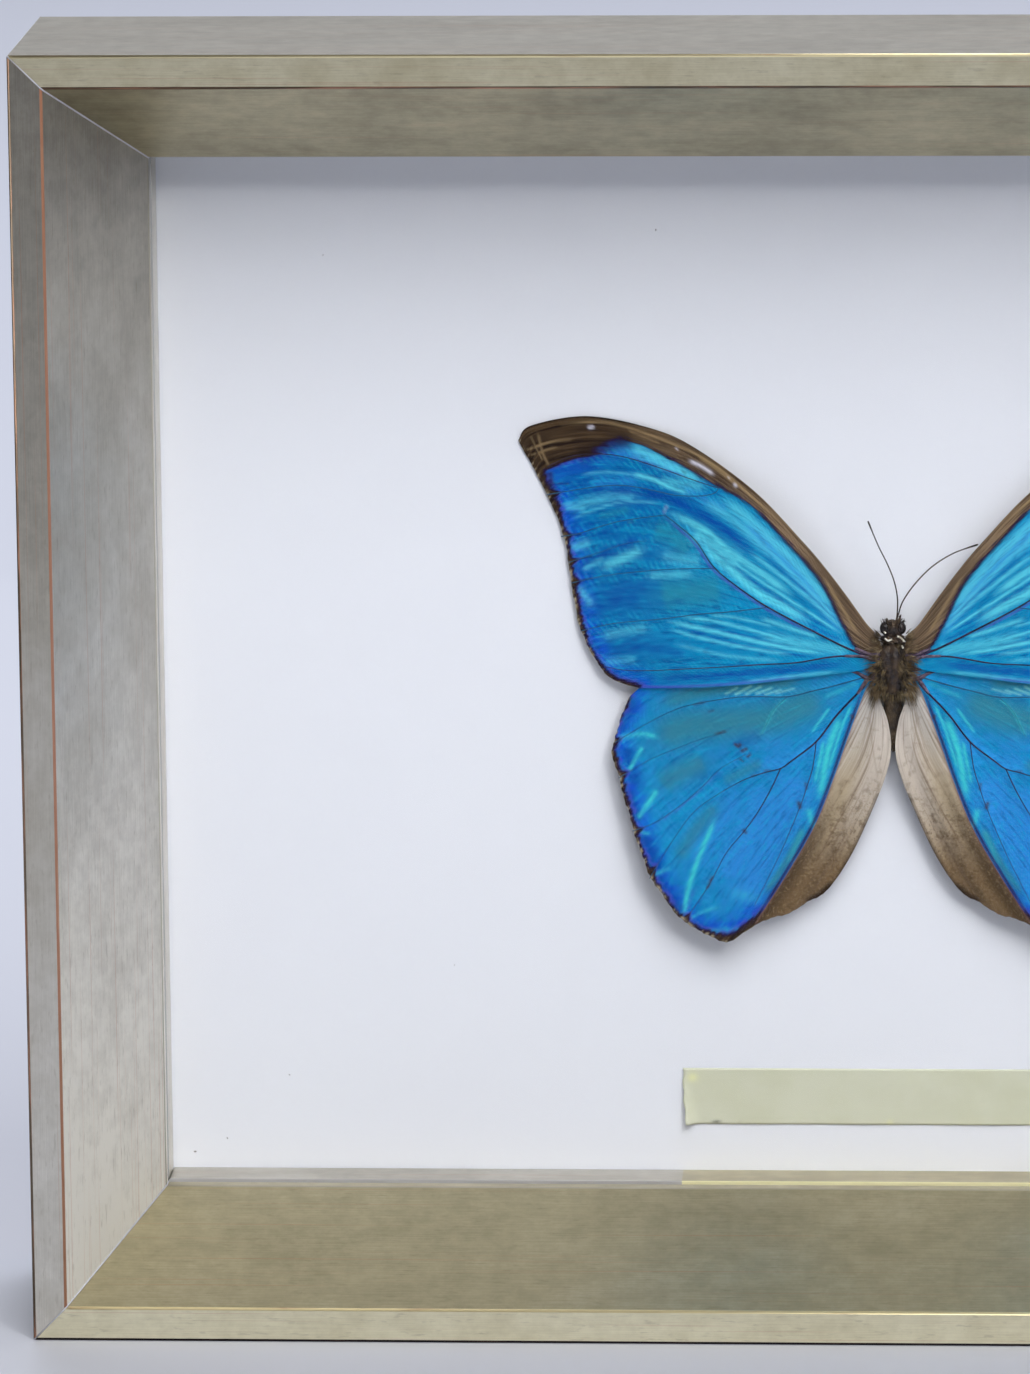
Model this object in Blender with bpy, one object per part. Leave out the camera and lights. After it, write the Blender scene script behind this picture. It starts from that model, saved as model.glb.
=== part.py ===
"""Framed butterfly specimen: a deep gilt shadow-box frame with glass, spacers, a white
mount board, a spread blue butterfly, a bare label strip and a closed back.

Frame of the part: +X to the viewer's right, +Z up, -Y towards the viewer. The origin is on
the underside, at the middle of the footprint. Run it with blender --background --python."""

from math import cos, pi, radians, sin

import bmesh
import bpy
from mathutils import Matrix, Vector

MM = 0.001
WIDTH = 300.0 * MM
HEIGHT = 226.5 * MM
DEPTH = 52.0 * MM
FRONT = -DEPTH / 2
GAP = 0.3 * MM

# Moulding profile: inset is measured inwards from the outer side, depth back from the front.
LIP_INSET, LIP_DEPTH = 5.8 * MM, 0.66 * MM
SIGHT_INSET, SIGHT_DEPTH = 21.3 * MM, 26.2 * MM
SIGHT_LIP = 2.6 * MM
RABBET_INSET = 14.5 * MM
FILLING_INSET = RABBET_INSET + GAP

# The stack in the rabbet, from the front to the back.
GLASS_THICKNESS = 2.0 * MM
SPACER_DEPTH = 7.9 * MM
BOARD_THICKNESS = 2.5 * MM
PANEL_THICKNESS = 3.0 * MM
GLASS_FRONT = SIGHT_DEPTH + SIGHT_LIP + GAP
SPACER_FRONT = GLASS_FRONT + GLASS_THICKNESS + GAP
BOARD_FRONT = SPACER_FRONT + SPACER_DEPTH + GAP
PANEL_FRONT = BOARD_FRONT + BOARD_THICKNESS + GAP
PANEL_BACK = PANEL_FRONT + PANEL_THICKNESS

# Retaining points and hanger, on the back of the panel.
POINT_LENGTH, POINT_WIDTH, STEEL = 12.0 * MM, 7.0 * MM, 0.7 * MM
HANGER_WIDTH, HANGER_HEIGHT, HANGER_BOW = 44.0 * MM, 9.0 * MM, 1.6 * MM
HANGER_BELOW_TOP = 46.0 * MM
HANGER_TAB, TOOTH_PITCH, TOOTH_DEPTH = 8.0 * MM, 4.0 * MM, 2.0 * MM
RIVET_RADIUS, RIVET_HEAD = 1.8 * MM, 0.8 * MM

# The label strip, low on the mount board.
LABEL_WIDTH, LABEL_HEIGHT, LABEL_THICKNESS = 75.0 * MM, 10.2 * MM, 0.3 * MM
LABEL_MIDDLE = 34.8 * MM

# The butterfly. Its outlines are in millimetres about the middle of the thorax.
SPECIMEN_HEIGHT = 114.9 * MM
THORAX_SIZE = (3.4 * MM, 3.3 * MM, 5.3 * MM)
THORAX_DROP = 1.0 * MM
HEAD_SIZE = (1.9 * MM, 1.7 * MM, 1.6 * MM)
HEAD_RISE = 6.3 * MM
ABDOMEN_LENGTH, ABDOMEN_RADIUS = 10.8 * MM, 1.4 * MM
ABDOMEN_TOP = -6.9 * MM
WING_THICKNESS = 0.4 * MM
FOREWING_RISE, HINDWING_RISE = 4.7 * MM, 3.9 * MM
ANTENNA_RISE, ANTENNA_RADIUS = 4.8 * MM, 0.2 * MM

COSTA = [(-4.0, 3.9), (-7.5, 8.2), (-15.4, 19.8), (-23.9, 29.4), (-34.3, 37.0), (-42.0, 40.4),
         (-53.5, 42.6), (-63.4, 40.9), (-65.8, 38.4)]
FOREWING_MARGIN = [(-65.8, 38.4), (-61.5, 30.2), (-57.9, 21.5), (-56.4, 11.9), (-54.7, 4.0),
                   (-50.2, -3.5), (-44.3, -5.6)]
FOREWING_TRAIL = [(-44.3, -5.6), (-30.2, -4.9), (-16.0, -3.4), (-5.8, -2.0), (-4.2, 0.6)]
HINDWING_HIDDEN = [(-4.6, -1.6), (-16.0, 1.0), (-30.0, 0.4), (-40.0, -2.6), (-46.4, -7.0)]
HINDWING_MARGIN = [(-46.4, -7.0), (-49.4, -16.1), (-48.2, -21.9), (-45.8, -30.6), (-42.7, -39.2),
                   (-37.5, -46.8), (-28.7, -50.8)]
HINDWING_TAIL = [(-28.7, -50.8), (-21.0, -46.0), (-12.6, -42.0)]
HINDWING_FOLD = [(-12.6, -42.0), (-9.0, -35.5), (-4.1, -27.5), (-1.3, -21.8), (-0.4, -16.7),
                 (-0.9, -11.5), (-2.6, -7.6), (-4.2, -4.6)]
LEFT_ANTENNA = [(-0.7, 8.2), (0.3, 12.5), (-0.7, 17.0), (-2.8, 20.9), (-4.3, 25.0)]
RIGHT_ANTENNA = [(0.9, 8.4), (2.6, 13.0), (5.4, 16.3), (9.3, 18.7), (14.9, 20.9)]

FINISHES = {
    "champagne_leaf": ((0.42, 0.39, 0.30), 0.38, 0.7),
    "clear_glass": ((0.95, 0.98, 0.97), 0.03, 0.0),
    "white_board": ((0.80, 0.81, 0.85), 0.85, 0.0),
    "brown_hardboard": ((0.22, 0.13, 0.07), 0.75, 0.0),
    "plated_steel": ((0.60, 0.60, 0.62), 0.30, 1.0),
    "cream_label": ((0.62, 0.62, 0.46), 0.55, 0.0),
    "blue_wing": ((0.02, 0.25, 0.62), 0.30, 0.3),
    "dark_chitin": ((0.09, 0.06, 0.035), 0.65, 0.0),
}


def clear_scene():
    """Remove every object that a new file starts with."""
    for thing in list(bpy.data.objects):
        bpy.data.objects.remove(thing, do_unlink=True)


def finish(name):
    """Return the Principled material of that name, made on first use."""
    if name in bpy.data.materials:
        return bpy.data.materials[name]
    colour, roughness, metallic = FINISHES[name]
    material = bpy.data.materials.new(name)
    material.use_nodes = True
    shader = material.node_tree.nodes["Principled BSDF"]
    shader.inputs["Base Color"].default_value = (*colour, 1.0)
    shader.inputs["Roughness"].default_value = roughness
    shader.inputs["Metallic"].default_value = metallic
    return material


def add_piece(name, bm, surface, place=(0, 0, 0), turn=0.0, smooth=False):
    """Turn a bmesh into an object at a place, turned about its own Y axis."""
    bmesh.ops.recalc_face_normals(bm, faces=bm.faces)
    mesh = bpy.data.meshes.new(name)
    bm.to_mesh(mesh)
    bm.free()
    if smooth:
        mesh.shade_smooth()
        mesh.set_sharp_from_angle(angle=radians(40))
    mesh.materials.append(finish(surface))
    piece = bpy.data.objects.new(name, mesh)
    piece.location = place
    piece.rotation_euler = (0, turn, 0)
    bpy.context.collection.objects.link(piece)
    return piece


def plate(outline, thickness):
    """Return a flat plate: an (x, z) outline from y = 0 back to y = thickness."""
    bm = bmesh.new()
    corners = [bm.verts.new((x, 0, z)) for x, z in outline]
    face = bm.faces.new(corners)
    grown = bmesh.ops.extrude_face_region(bm, geom=[face])
    raised = [item for item in grown["geom"] if isinstance(item, bmesh.types.BMVert)]
    bmesh.ops.translate(bm, verts=raised, vec=(0, thickness, 0))
    return bm


def mitred_length(profile, length):
    """Return a bar along X with an (inset, depth) profile and 45 degree mitres on both ends.

    Inset runs along +Z from the frame's outer side, depth along +Y from its front."""
    bm = bmesh.new()
    ring = [bm.verts.new((-length / 2, depth, inset)) for inset, depth in profile]
    end = bm.faces.new(ring)
    grown = bmesh.ops.extrude_face_region(bm, geom=[end])
    far = [item for item in grown["geom"] if isinstance(item, bmesh.types.BMVert)]
    bmesh.ops.translate(bm, verts=far, vec=(length, 0, 0))
    for side in (-1, 1):
        outwards = Vector((side, 0, 1)).normalized()
        corner = Vector((side * length / 2, 0, 0)) - outwards * GAP / 2
        cut = bmesh.ops.bisect_plane(
            bm, geom=bm.verts[:] + bm.edges[:] + bm.faces[:], plane_co=corner, plane_no=outwards,
            clear_outer=True)
        rim = [item for item in cut["geom_cut"] if isinstance(item, bmesh.types.BMEdge)]
        bmesh.ops.contextual_create(bm, geom=rim)
    return bm


def add_four_sides(names, profile, surface):
    """Add the bottom, top, left and right lengths of one mitred profile."""
    middle = HEIGHT / 2
    sides = [
        (WIDTH, (0, FRONT, 0), 0.0),
        (WIDTH, (0, FRONT, HEIGHT), pi),
        (HEIGHT, (-WIDTH / 2, FRONT, middle), pi / 2),
        (HEIGHT, (WIDTH / 2, FRONT, middle), -pi / 2),
    ]
    for name, (length, place, turn) in zip(names, sides):
        add_piece(name, mitred_length(profile, length), surface, place, turn)


def add_moulding():
    """Add the four mitred lengths of the deep sloping moulding."""
    profile = [
        (0, 0),
        (LIP_INSET, LIP_DEPTH),
        (SIGHT_INSET, SIGHT_DEPTH),
        (SIGHT_INSET, SIGHT_DEPTH + SIGHT_LIP),
        (RABBET_INSET, SIGHT_DEPTH + SIGHT_LIP),
        (RABBET_INSET, DEPTH),
        (0, DEPTH),
    ]
    names = ["frame_rail_bottom", "frame_rail_top", "frame_stile_left", "frame_stile_right"]
    add_four_sides(names, profile, "champagne_leaf")


def add_spacers():
    """Add the four strips that hold the glass off the mount board."""
    back = SPACER_FRONT + SPACER_DEPTH
    profile = [
        (FILLING_INSET, SPACER_FRONT),
        (SIGHT_INSET, SPACER_FRONT),
        (SIGHT_INSET, back),
        (FILLING_INSET, back),
    ]
    names = ["spacer_bottom", "spacer_top", "spacer_left", "spacer_right"]
    add_four_sides(names, profile, "champagne_leaf")


def add_sheet(name, front, thickness, surface):
    """Add a flat sheet that fills the rabbet from side to side."""
    half = WIDTH / 2 - FILLING_INSET
    low, high = FILLING_INSET, HEIGHT - FILLING_INSET
    outline = [(-half, low), (half, low), (half, high), (-half, high)]
    add_piece(name, plate(outline, thickness), surface, (0, FRONT + front, 0))


def retaining_point():
    """Return a steel tab: square at the wood, round where it presses on the panel."""
    half = POINT_WIDTH / 2
    straight = POINT_LENGTH - half
    outline = [(-half, 0), (half, 0)]
    steps = 8
    for step in range(steps + 1):
        angle = pi * step / steps
        outline.append((half * cos(angle), straight + half * sin(angle)))
    return plate(outline, STEEL)


def add_retaining_points():
    """Add two steel tabs on each side of the rabbet, flat on the back panel."""
    depth = FRONT + PANEL_BACK + GAP
    low, high = FILLING_INSET, HEIGHT - FILLING_INSET
    half = WIDTH / 2 - FILLING_INSET
    places = []
    for share in (-1, 1):
        across, up = share * WIDTH * 0.25, HEIGHT / 2 + share * HEIGHT * 0.22
        places.append(((across, depth, low), 0.0))
        places.append(((across, depth, high), pi))
        places.append(((-half, depth, up), pi / 2))
        places.append(((half, depth, up), -pi / 2))
    for number, (place, turn) in enumerate(places, start=1):
        add_piece(f"retaining_point_{number}", retaining_point(), "plated_steel", place, turn)


def add_hanger():
    """Add the sawtooth hanger: end tabs on the panel, a toothed middle bowed away from it."""
    half, tall = HANGER_WIDTH / 2, HANGER_HEIGHT / 2
    toothed = half - HANGER_TAB
    outline = [(half, -tall), (half, tall), (toothed, tall), (-toothed, tall)]
    outline += [(-half, tall), (-half, -tall), (-toothed, -tall)]
    teeth = round(2 * toothed / TOOTH_PITCH)
    for tooth in range(teeth):
        left = -toothed + tooth * TOOTH_PITCH
        outline.append((left + TOOTH_PITCH / 2, -tall + TOOTH_DEPTH))
        outline.append((left + TOOTH_PITCH, -tall))
    bm = plate(outline, STEEL)
    for vert in bm.verts:
        if abs(vert.co.x) <= toothed - TOOTH_PITCH / 4:
            vert.co.y += HANGER_BOW
    bmesh.ops.triangulate(bm, faces=bm.faces)
    depth = FRONT + PANEL_BACK + GAP
    height = HEIGHT - HANGER_BELOW_TOP
    add_piece("sawtooth_hanger", bm, "plated_steel", (0, depth, height))
    for side, word in ((-1, "left"), (1, "right")):
        head = bmesh.new()
        bmesh.ops.create_cone(
            head, cap_ends=True, segments=16, radius1=RIVET_RADIUS, radius2=RIVET_RADIUS * 0.6,
            depth=RIVET_HEAD, matrix=Matrix.Rotation(-pi / 2, 4, "X"))
        place = (side * (half - HANGER_TAB / 2), depth + STEEL + GAP + RIVET_HEAD / 2, height)
        add_piece(f"hanger_rivet_{word}", head, "plated_steel", place, smooth=True)


def add_label():
    """Add the bare label strip, stuck low on the mount board."""
    half, tall = LABEL_WIDTH / 2, LABEL_HEIGHT / 2
    outline = [(-half, -tall), (half, -tall), (half, tall), (-half, tall)]
    depth = FRONT + BOARD_FRONT - GAP - LABEL_THICKNESS
    add_piece("label_strip", plate(outline, LABEL_THICKNESS), "cream_label", (0, depth, LABEL_MIDDLE))


def curve_through(knots, steps=4):
    """Return points on a Catmull-Rom curve through the knots, its ends included."""
    padded = [knots[0], *knots, knots[-1]]
    points = []
    for before, start, end, after in zip(padded, padded[1:], padded[2:], padded[3:]):
        for step in range(steps):
            t = step / steps
            weights = ((2 - t) * t * t - t, (3 * t - 5) * t * t + 2,
                       ((4 - 3 * t) * t + 1) * t, (t - 1) * t * t)
            point = [sum(w * p[axis] for w, p in zip(weights, (before, start, end, after))) / 2
                     for axis in range(len(start))]
            points.append(tuple(point))
    points.append(tuple(knots[-1]))
    return points


def wing_outline(edges, side):
    """Join the smooth edges of a left wing into one loop in metres; side 1 mirrors it."""
    loop = []
    for edge in edges:
        for x, z in curve_through(edge):
            point = (-side * x * MM, z * MM)
            if not loop or (Vector(point) - Vector(loop[-1])).length > GAP / 10:
                loop.append(point)
    if (Vector(loop[0]) - Vector(loop[-1])).length < GAP / 10:
        loop.pop()
    return loop


def rise(height):
    """Return the Y of something that stands this far in front of the mount board."""
    return FRONT + BOARD_FRONT - height


def add_wings():
    """Add both forewings and, a little nearer the board, both hindwings."""
    forewing = [COSTA, FOREWING_MARGIN, FOREWING_TRAIL]
    hindwing = [HINDWING_HIDDEN, HINDWING_MARGIN, HINDWING_TAIL, HINDWING_FOLD]
    for side, word in ((-1, "left"), (1, "right")):
        for name, edges, height in (("forewing", forewing, FOREWING_RISE),
                                    ("hindwing", hindwing, HINDWING_RISE)):
            place = (0, rise(height) - WING_THICKNESS / 2, SPECIMEN_HEIGHT)
            wing = plate(wing_outline(edges, side), WING_THICKNESS)
            add_piece(f"{name}_{word}", wing, "blue_wing", place)


def ellipsoid(radii, segments=20, rings=12):
    """Return a closed ellipsoid with its poles along Z."""
    bm = bmesh.new()
    bmesh.ops.create_uvsphere(bm, u_segments=segments, v_segments=rings, radius=1.0)
    bmesh.ops.scale(bm, verts=bm.verts, vec=radii)
    return bm


def add_body():
    """Add the thorax, the head above it and the short abdomen below it."""
    thorax_middle = THORAX_SIZE[1] + GAP
    place = (0, rise(thorax_middle), SPECIMEN_HEIGHT - THORAX_DROP)
    add_piece("thorax", ellipsoid(THORAX_SIZE), "dark_chitin", place, smooth=True)
    place = (0, rise(thorax_middle + 0.4 * MM), SPECIMEN_HEIGHT + HEAD_RISE)
    add_piece("head", ellipsoid(HEAD_SIZE), "dark_chitin", place, smooth=True)
    half = ABDOMEN_LENGTH / 2
    abdomen = ellipsoid((ABDOMEN_RADIUS, ABDOMEN_RADIUS, half))
    for vert in abdomen.verts:
        taper = 0.6 + 0.4 * vert.co.z / half
        vert.co.x *= taper
        vert.co.y *= taper
    place = (0, rise(ABDOMEN_RADIUS + 2 * GAP), SPECIMEN_HEIGHT + ABDOMEN_TOP - half)
    add_piece("abdomen", abdomen, "dark_chitin", place, smooth=True)


def add_antenna(name, knots):
    """Add one antenna: a fine tube that rises slightly towards its tip."""
    points = curve_through(knots, steps=5)
    last = len(points) - 1
    curve = bpy.data.curves.new(name, "CURVE")
    curve.dimensions = "3D"
    curve.bevel_depth = ANTENNA_RADIUS
    curve.bevel_resolution = 2
    curve.use_fill_caps = True
    spline = curve.splines.new("POLY")
    spline.points.add(last)
    for number, (x, z) in enumerate(points):
        lift = ANTENNA_RISE + MM * sin(pi / 2 * number / last)
        spline.points[number].co = (x * MM, rise(lift), SPECIMEN_HEIGHT + z * MM, 1.0)
    curve.materials.append(finish("dark_chitin"))
    bpy.context.collection.objects.link(bpy.data.objects.new(name, curve))


clear_scene()
add_moulding()
add_spacers()
add_sheet("glass_pane", GLASS_FRONT, GLASS_THICKNESS, "clear_glass")
add_sheet("mount_board", BOARD_FRONT, BOARD_THICKNESS, "white_board")
add_sheet("back_panel", PANEL_FRONT, PANEL_THICKNESS, "brown_hardboard")
add_retaining_points()
add_hanger()
add_label()
add_wings()
add_body()
add_antenna("antenna_left", LEFT_ANTENNA)
add_antenna("antenna_right", RIGHT_ANTENNA)
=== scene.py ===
# %% [markdown]
# # A framed butterfly
#
# The real object is a deep gilt shadow box. Four mitred lengths of moulding slope down to the
# glass, four gilded spacers hold the glass off a white mount board, and on the board sit a
# spread blue butterfly and a strip of cream paper. Hardboard, steel tabs and a sawtooth hanger
# close the back. The imported model gives every size and place, so it is loaded first, and its
# box is kept.

# %% Load the fixed frame
from math import cos, pi, radians, sin

import bmesh
import bpy
import numpy as np
from mathutils import Matrix, Vector, noise


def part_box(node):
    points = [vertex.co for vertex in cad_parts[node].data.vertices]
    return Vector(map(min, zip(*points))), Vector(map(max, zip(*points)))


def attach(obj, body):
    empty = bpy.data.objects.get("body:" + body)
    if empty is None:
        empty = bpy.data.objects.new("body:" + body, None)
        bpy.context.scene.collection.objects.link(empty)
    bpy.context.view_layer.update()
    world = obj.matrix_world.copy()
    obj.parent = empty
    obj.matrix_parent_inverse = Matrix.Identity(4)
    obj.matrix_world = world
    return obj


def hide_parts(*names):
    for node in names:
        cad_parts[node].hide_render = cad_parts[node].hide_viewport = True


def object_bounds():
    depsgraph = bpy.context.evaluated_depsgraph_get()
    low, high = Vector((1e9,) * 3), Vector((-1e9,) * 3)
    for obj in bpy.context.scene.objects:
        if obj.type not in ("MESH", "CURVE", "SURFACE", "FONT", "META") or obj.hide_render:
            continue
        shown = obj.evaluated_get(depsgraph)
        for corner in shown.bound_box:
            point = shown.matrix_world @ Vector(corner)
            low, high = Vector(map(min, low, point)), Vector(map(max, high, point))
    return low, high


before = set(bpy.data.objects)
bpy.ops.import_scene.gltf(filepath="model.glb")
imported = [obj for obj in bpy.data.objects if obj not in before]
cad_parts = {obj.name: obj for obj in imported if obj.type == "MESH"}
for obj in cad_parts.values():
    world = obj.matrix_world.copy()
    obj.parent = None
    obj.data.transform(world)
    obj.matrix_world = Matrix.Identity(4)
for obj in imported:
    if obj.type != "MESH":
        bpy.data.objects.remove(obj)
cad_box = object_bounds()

MM = 0.001
low, high = cad_box
print("frame size in mm:", [round(side / MM, 1) for side in high - low])

# %% [markdown]
# ## Measures
#
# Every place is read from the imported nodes, so the looks cannot drift from the construction.
# The moulding's profile is the one thing that a box cannot tell. It is given as insets from
# the outer side and depths behind the front.

# %% Read the measures
WIDTH, HEIGHT, DEPTH = high.x - low.x, high.z - low.z, high.y - low.y
FRONT = low.y
BOARD_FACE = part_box("mount_board")[0].y
SPACER_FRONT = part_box("spacer_bottom")[0].y
SPACER_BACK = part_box("spacer_bottom")[1].y
LIP_INSET, LIP_DEPTH = 5.8 * MM, 0.66 * MM
SIGHT_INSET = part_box("spacer_bottom")[1].z - low.z
SIGHT_DEPTH, SIGHT_LIP = 26.2 * MM, 2.6 * MM
RABBET_INSET = 14.5 * MM
FILLING_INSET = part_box("spacer_bottom")[0].z - low.z
JOINT = 0.3 * MM
LABEL_LOW, LABEL_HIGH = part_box("label_strip")
BODY_HEIGHT = 114.9 * MM
print("sight edge inset:", round(SIGHT_INSET / MM, 2), "board face at y:", round(BOARD_FACE / MM, 2))

# %% [markdown]
# ## Small helpers
#
# Shapes are drawn as a bmesh, which has the modelling operators, and then stored as a mesh.
# An object gives a mesh, a lamp or a camera its place in the scene. These steps come up for
# every piece, so each has a short function.

# %% Meshes and objects
def mesh_from(name, bm):
    """Store a finished bmesh as a mesh."""
    mesh = bpy.data.meshes.new(name)
    bm.to_mesh(mesh)
    bm.free()
    return mesh


def smooth(bm):
    """Shade every face of a bmesh smooth."""
    for face in bm.faces:
        face.smooth = True


def placed(name, data):
    """Add an object that holds a mesh, a lamp or a camera to the scene."""
    thing = bpy.data.objects.new(name, data)
    bpy.context.collection.objects.link(thing)
    return thing


print("helpers:", mesh_from.__name__, smooth.__name__, placed.__name__)

# %% [markdown]
# ## Camera
#
# A long lens stands about one and a half metres in front, a third of a metre above the middle
# of the frame and slightly to its right, so that the top face and the inside of the bottom
# rail both show. It is turned a few degrees to the left, where the frame's left half fills
# the picture and the right half runs out of it.

# %% Make the camera
CAMERA_PLACE = Vector((30.0, -1569.9, 434.35)) * MM
CAMERA_PAN, CAMERA_TILT, CAMERA_ROLL = radians(3.496), radians(-11.594), radians(-0.585)
camera = bpy.data.cameras.new("camera")
camera.lens, camera.sensor_width = 240.5, 36.0
viewer = placed("camera", camera)
turned = Matrix.Rotation(CAMERA_PAN, 4, "Z") @ Matrix.Rotation(pi / 2 + CAMERA_TILT, 4, "X")
viewer.matrix_world = Matrix.Translation(CAMERA_PLACE) @ turned @ Matrix.Rotation(CAMERA_ROLL, 4, "Z")
bpy.context.scene.camera = viewer
bpy.context.scene.view_settings.view_transform = "Standard"
print("camera stands", round(-CAMERA_PLACE.y + FRONT, 2), "m in front of the frame")

# %% [markdown]
# ## Floor, room and lamps
#
# A gilt surface shows what stands round it, so the light is chosen as much for its
# reflections as for its brightness. A small lamp on the right throws the crisp band of
# shade under the top rail, and a wide panel above it softens the rest. A third panel lights
# the top face and the floor from behind. No lamp is seen by the camera.
#
# The lips of the frame mirror the floor in front of them, and the floor would make them too
# bright. So a dark ring lies round the frame that only mirror-like surfaces can see.

# %% Make the floor and the lights
FLOOR_REACH = 12.0
RING_INNER, RING_GROWTH, RING_LIFT, RING_SIDES = 0.72, 8, 2 * MM, 48
# Each lamp: bearing and rise in degrees, distance and size in metres, power in watts, colour.
LAMPS = {
    "small_lamp": (28, 29, 2.2, 0.26, 6.3, (1.0, 0.985, 0.96)),
    "wide_panel": (16, 52, 2.2, 1.3, 22.4, (0.97, 0.98, 1.0)),
    "rear_panel": (172, 58, 2.6, 2.0, 50.0, (0.86, 0.90, 1.0)),
}


def points_of(grown):
    """Return the points that an extrusion made."""
    return [item for item in grown["geom"] if isinstance(item, bmesh.types.BMVert)]


def pale_floor():
    bm = bmesh.new()
    bmesh.ops.create_grid(bm, x_segments=1, y_segments=1, size=FLOOR_REACH)
    floor = placed("floor", mesh_from("floor", bm))
    return floor


def lamp(name, bearing, rise, distance, size, power, colour):
    """Add a square panel that looks at the middle of the frame from a bearing and a rise."""
    light = bpy.data.lights.new(name, "AREA")
    light.size, light.energy, light.color = size, power, colour
    away = Vector((sin(bearing) * cos(rise), -cos(bearing) * cos(rise), sin(rise)))
    panel = placed(name, light)
    panel.matrix_world = (Matrix.Translation(Vector((0, 0, HEIGHT / 2)) + away * distance)
                          @ away.to_track_quat("Z", "Y").to_matrix().to_4x4())
    panel.visible_camera = False


def dark_flag():
    """Lay a dark ring on the floor that only mirror-like surfaces see, as a table's end."""
    bm = bmesh.new()
    bmesh.ops.create_circle(bm, segments=RING_SIDES, radius=RING_INNER)
    grown = bmesh.ops.extrude_edge_only(bm, edges=bm.edges[:])
    bmesh.ops.scale(bm, verts=points_of(grown), vec=(RING_GROWTH, RING_GROWTH, 1))
    bmesh.ops.translate(bm, verts=bm.verts, vec=(0, 0, RING_LIFT))
    flag = placed("dark_flag", mesh_from("dark_flag", bm))
    for sight in ("camera", "diffuse", "transmission", "volume_scatter", "shadow"):
        setattr(flag, "visible_" + sight, False)
    return flag


floor = pale_floor()
flag = dark_flag()
for name, (bearing, rise, distance, size, power, colour) in LAMPS.items():
    lamp(name, radians(bearing), radians(rise), distance, size, power, colour)
print("lamps:", [light.name for light in bpy.data.lights])

# %% [markdown]
# ## The room
#
# The rest of the light comes evenly from a pale grey room. It darkens overhead, which keeps
# the upward slopes olive, and turns cooler and brighter to the right, where a window would
# be. The direction of a ray chooses the colour: its height first, then how far it points
# to the right.

# %% The room as light from all round
MIX_SHARE, MIX_FIRST, MIX_SECOND, MIX_RESULT = 0, 6, 7, 2
RIGHT_BEGINS = 0.1
ROOM_OVERHEAD, ROOM_LEVEL = (0.110, 0.105, 0.088, 1), (0.180, 0.183, 0.200, 1)
ROOM_RIGHT = (0.26, 0.28, 0.34, 1)
room = bpy.data.worlds.new("room")
room.use_nodes = True
bpy.context.scene.world = room
tree = room.node_tree
direction = tree.nodes.new("ShaderNodeTexCoord").outputs["Generated"]
height = tree.nodes.new("ShaderNodeSeparateXYZ")
tree.links.new(direction, height.inputs[0])
fade = tree.nodes.new("ShaderNodeValToRGB")
fade.color_ramp.elements[0].color = ROOM_LEVEL
fade.color_ramp.elements[1].color = ROOM_OVERHEAD
tree.links.new(height.outputs["Z"], fade.inputs["Fac"])
sideways = tree.nodes.new("ShaderNodeMapRange")
sideways.inputs["From Min"].default_value = RIGHT_BEGINS
tree.links.new(height.outputs["X"], sideways.inputs["Value"])
cool = tree.nodes.new("ShaderNodeMix")
cool.data_type = "RGBA"
cool.inputs[MIX_SECOND].default_value = ROOM_RIGHT
tree.links.new(sideways.outputs[0], cool.inputs[MIX_SHARE])
tree.links.new(fade.outputs["Color"], cool.inputs[MIX_FIRST])
tree.links.new(cool.outputs[MIX_RESULT], tree.nodes["Background"].inputs["Color"])
print("room radiance:", ROOM_LEVEL[:3], "to", ROOM_OVERHEAD[:3], "and cooler on the right")
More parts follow.
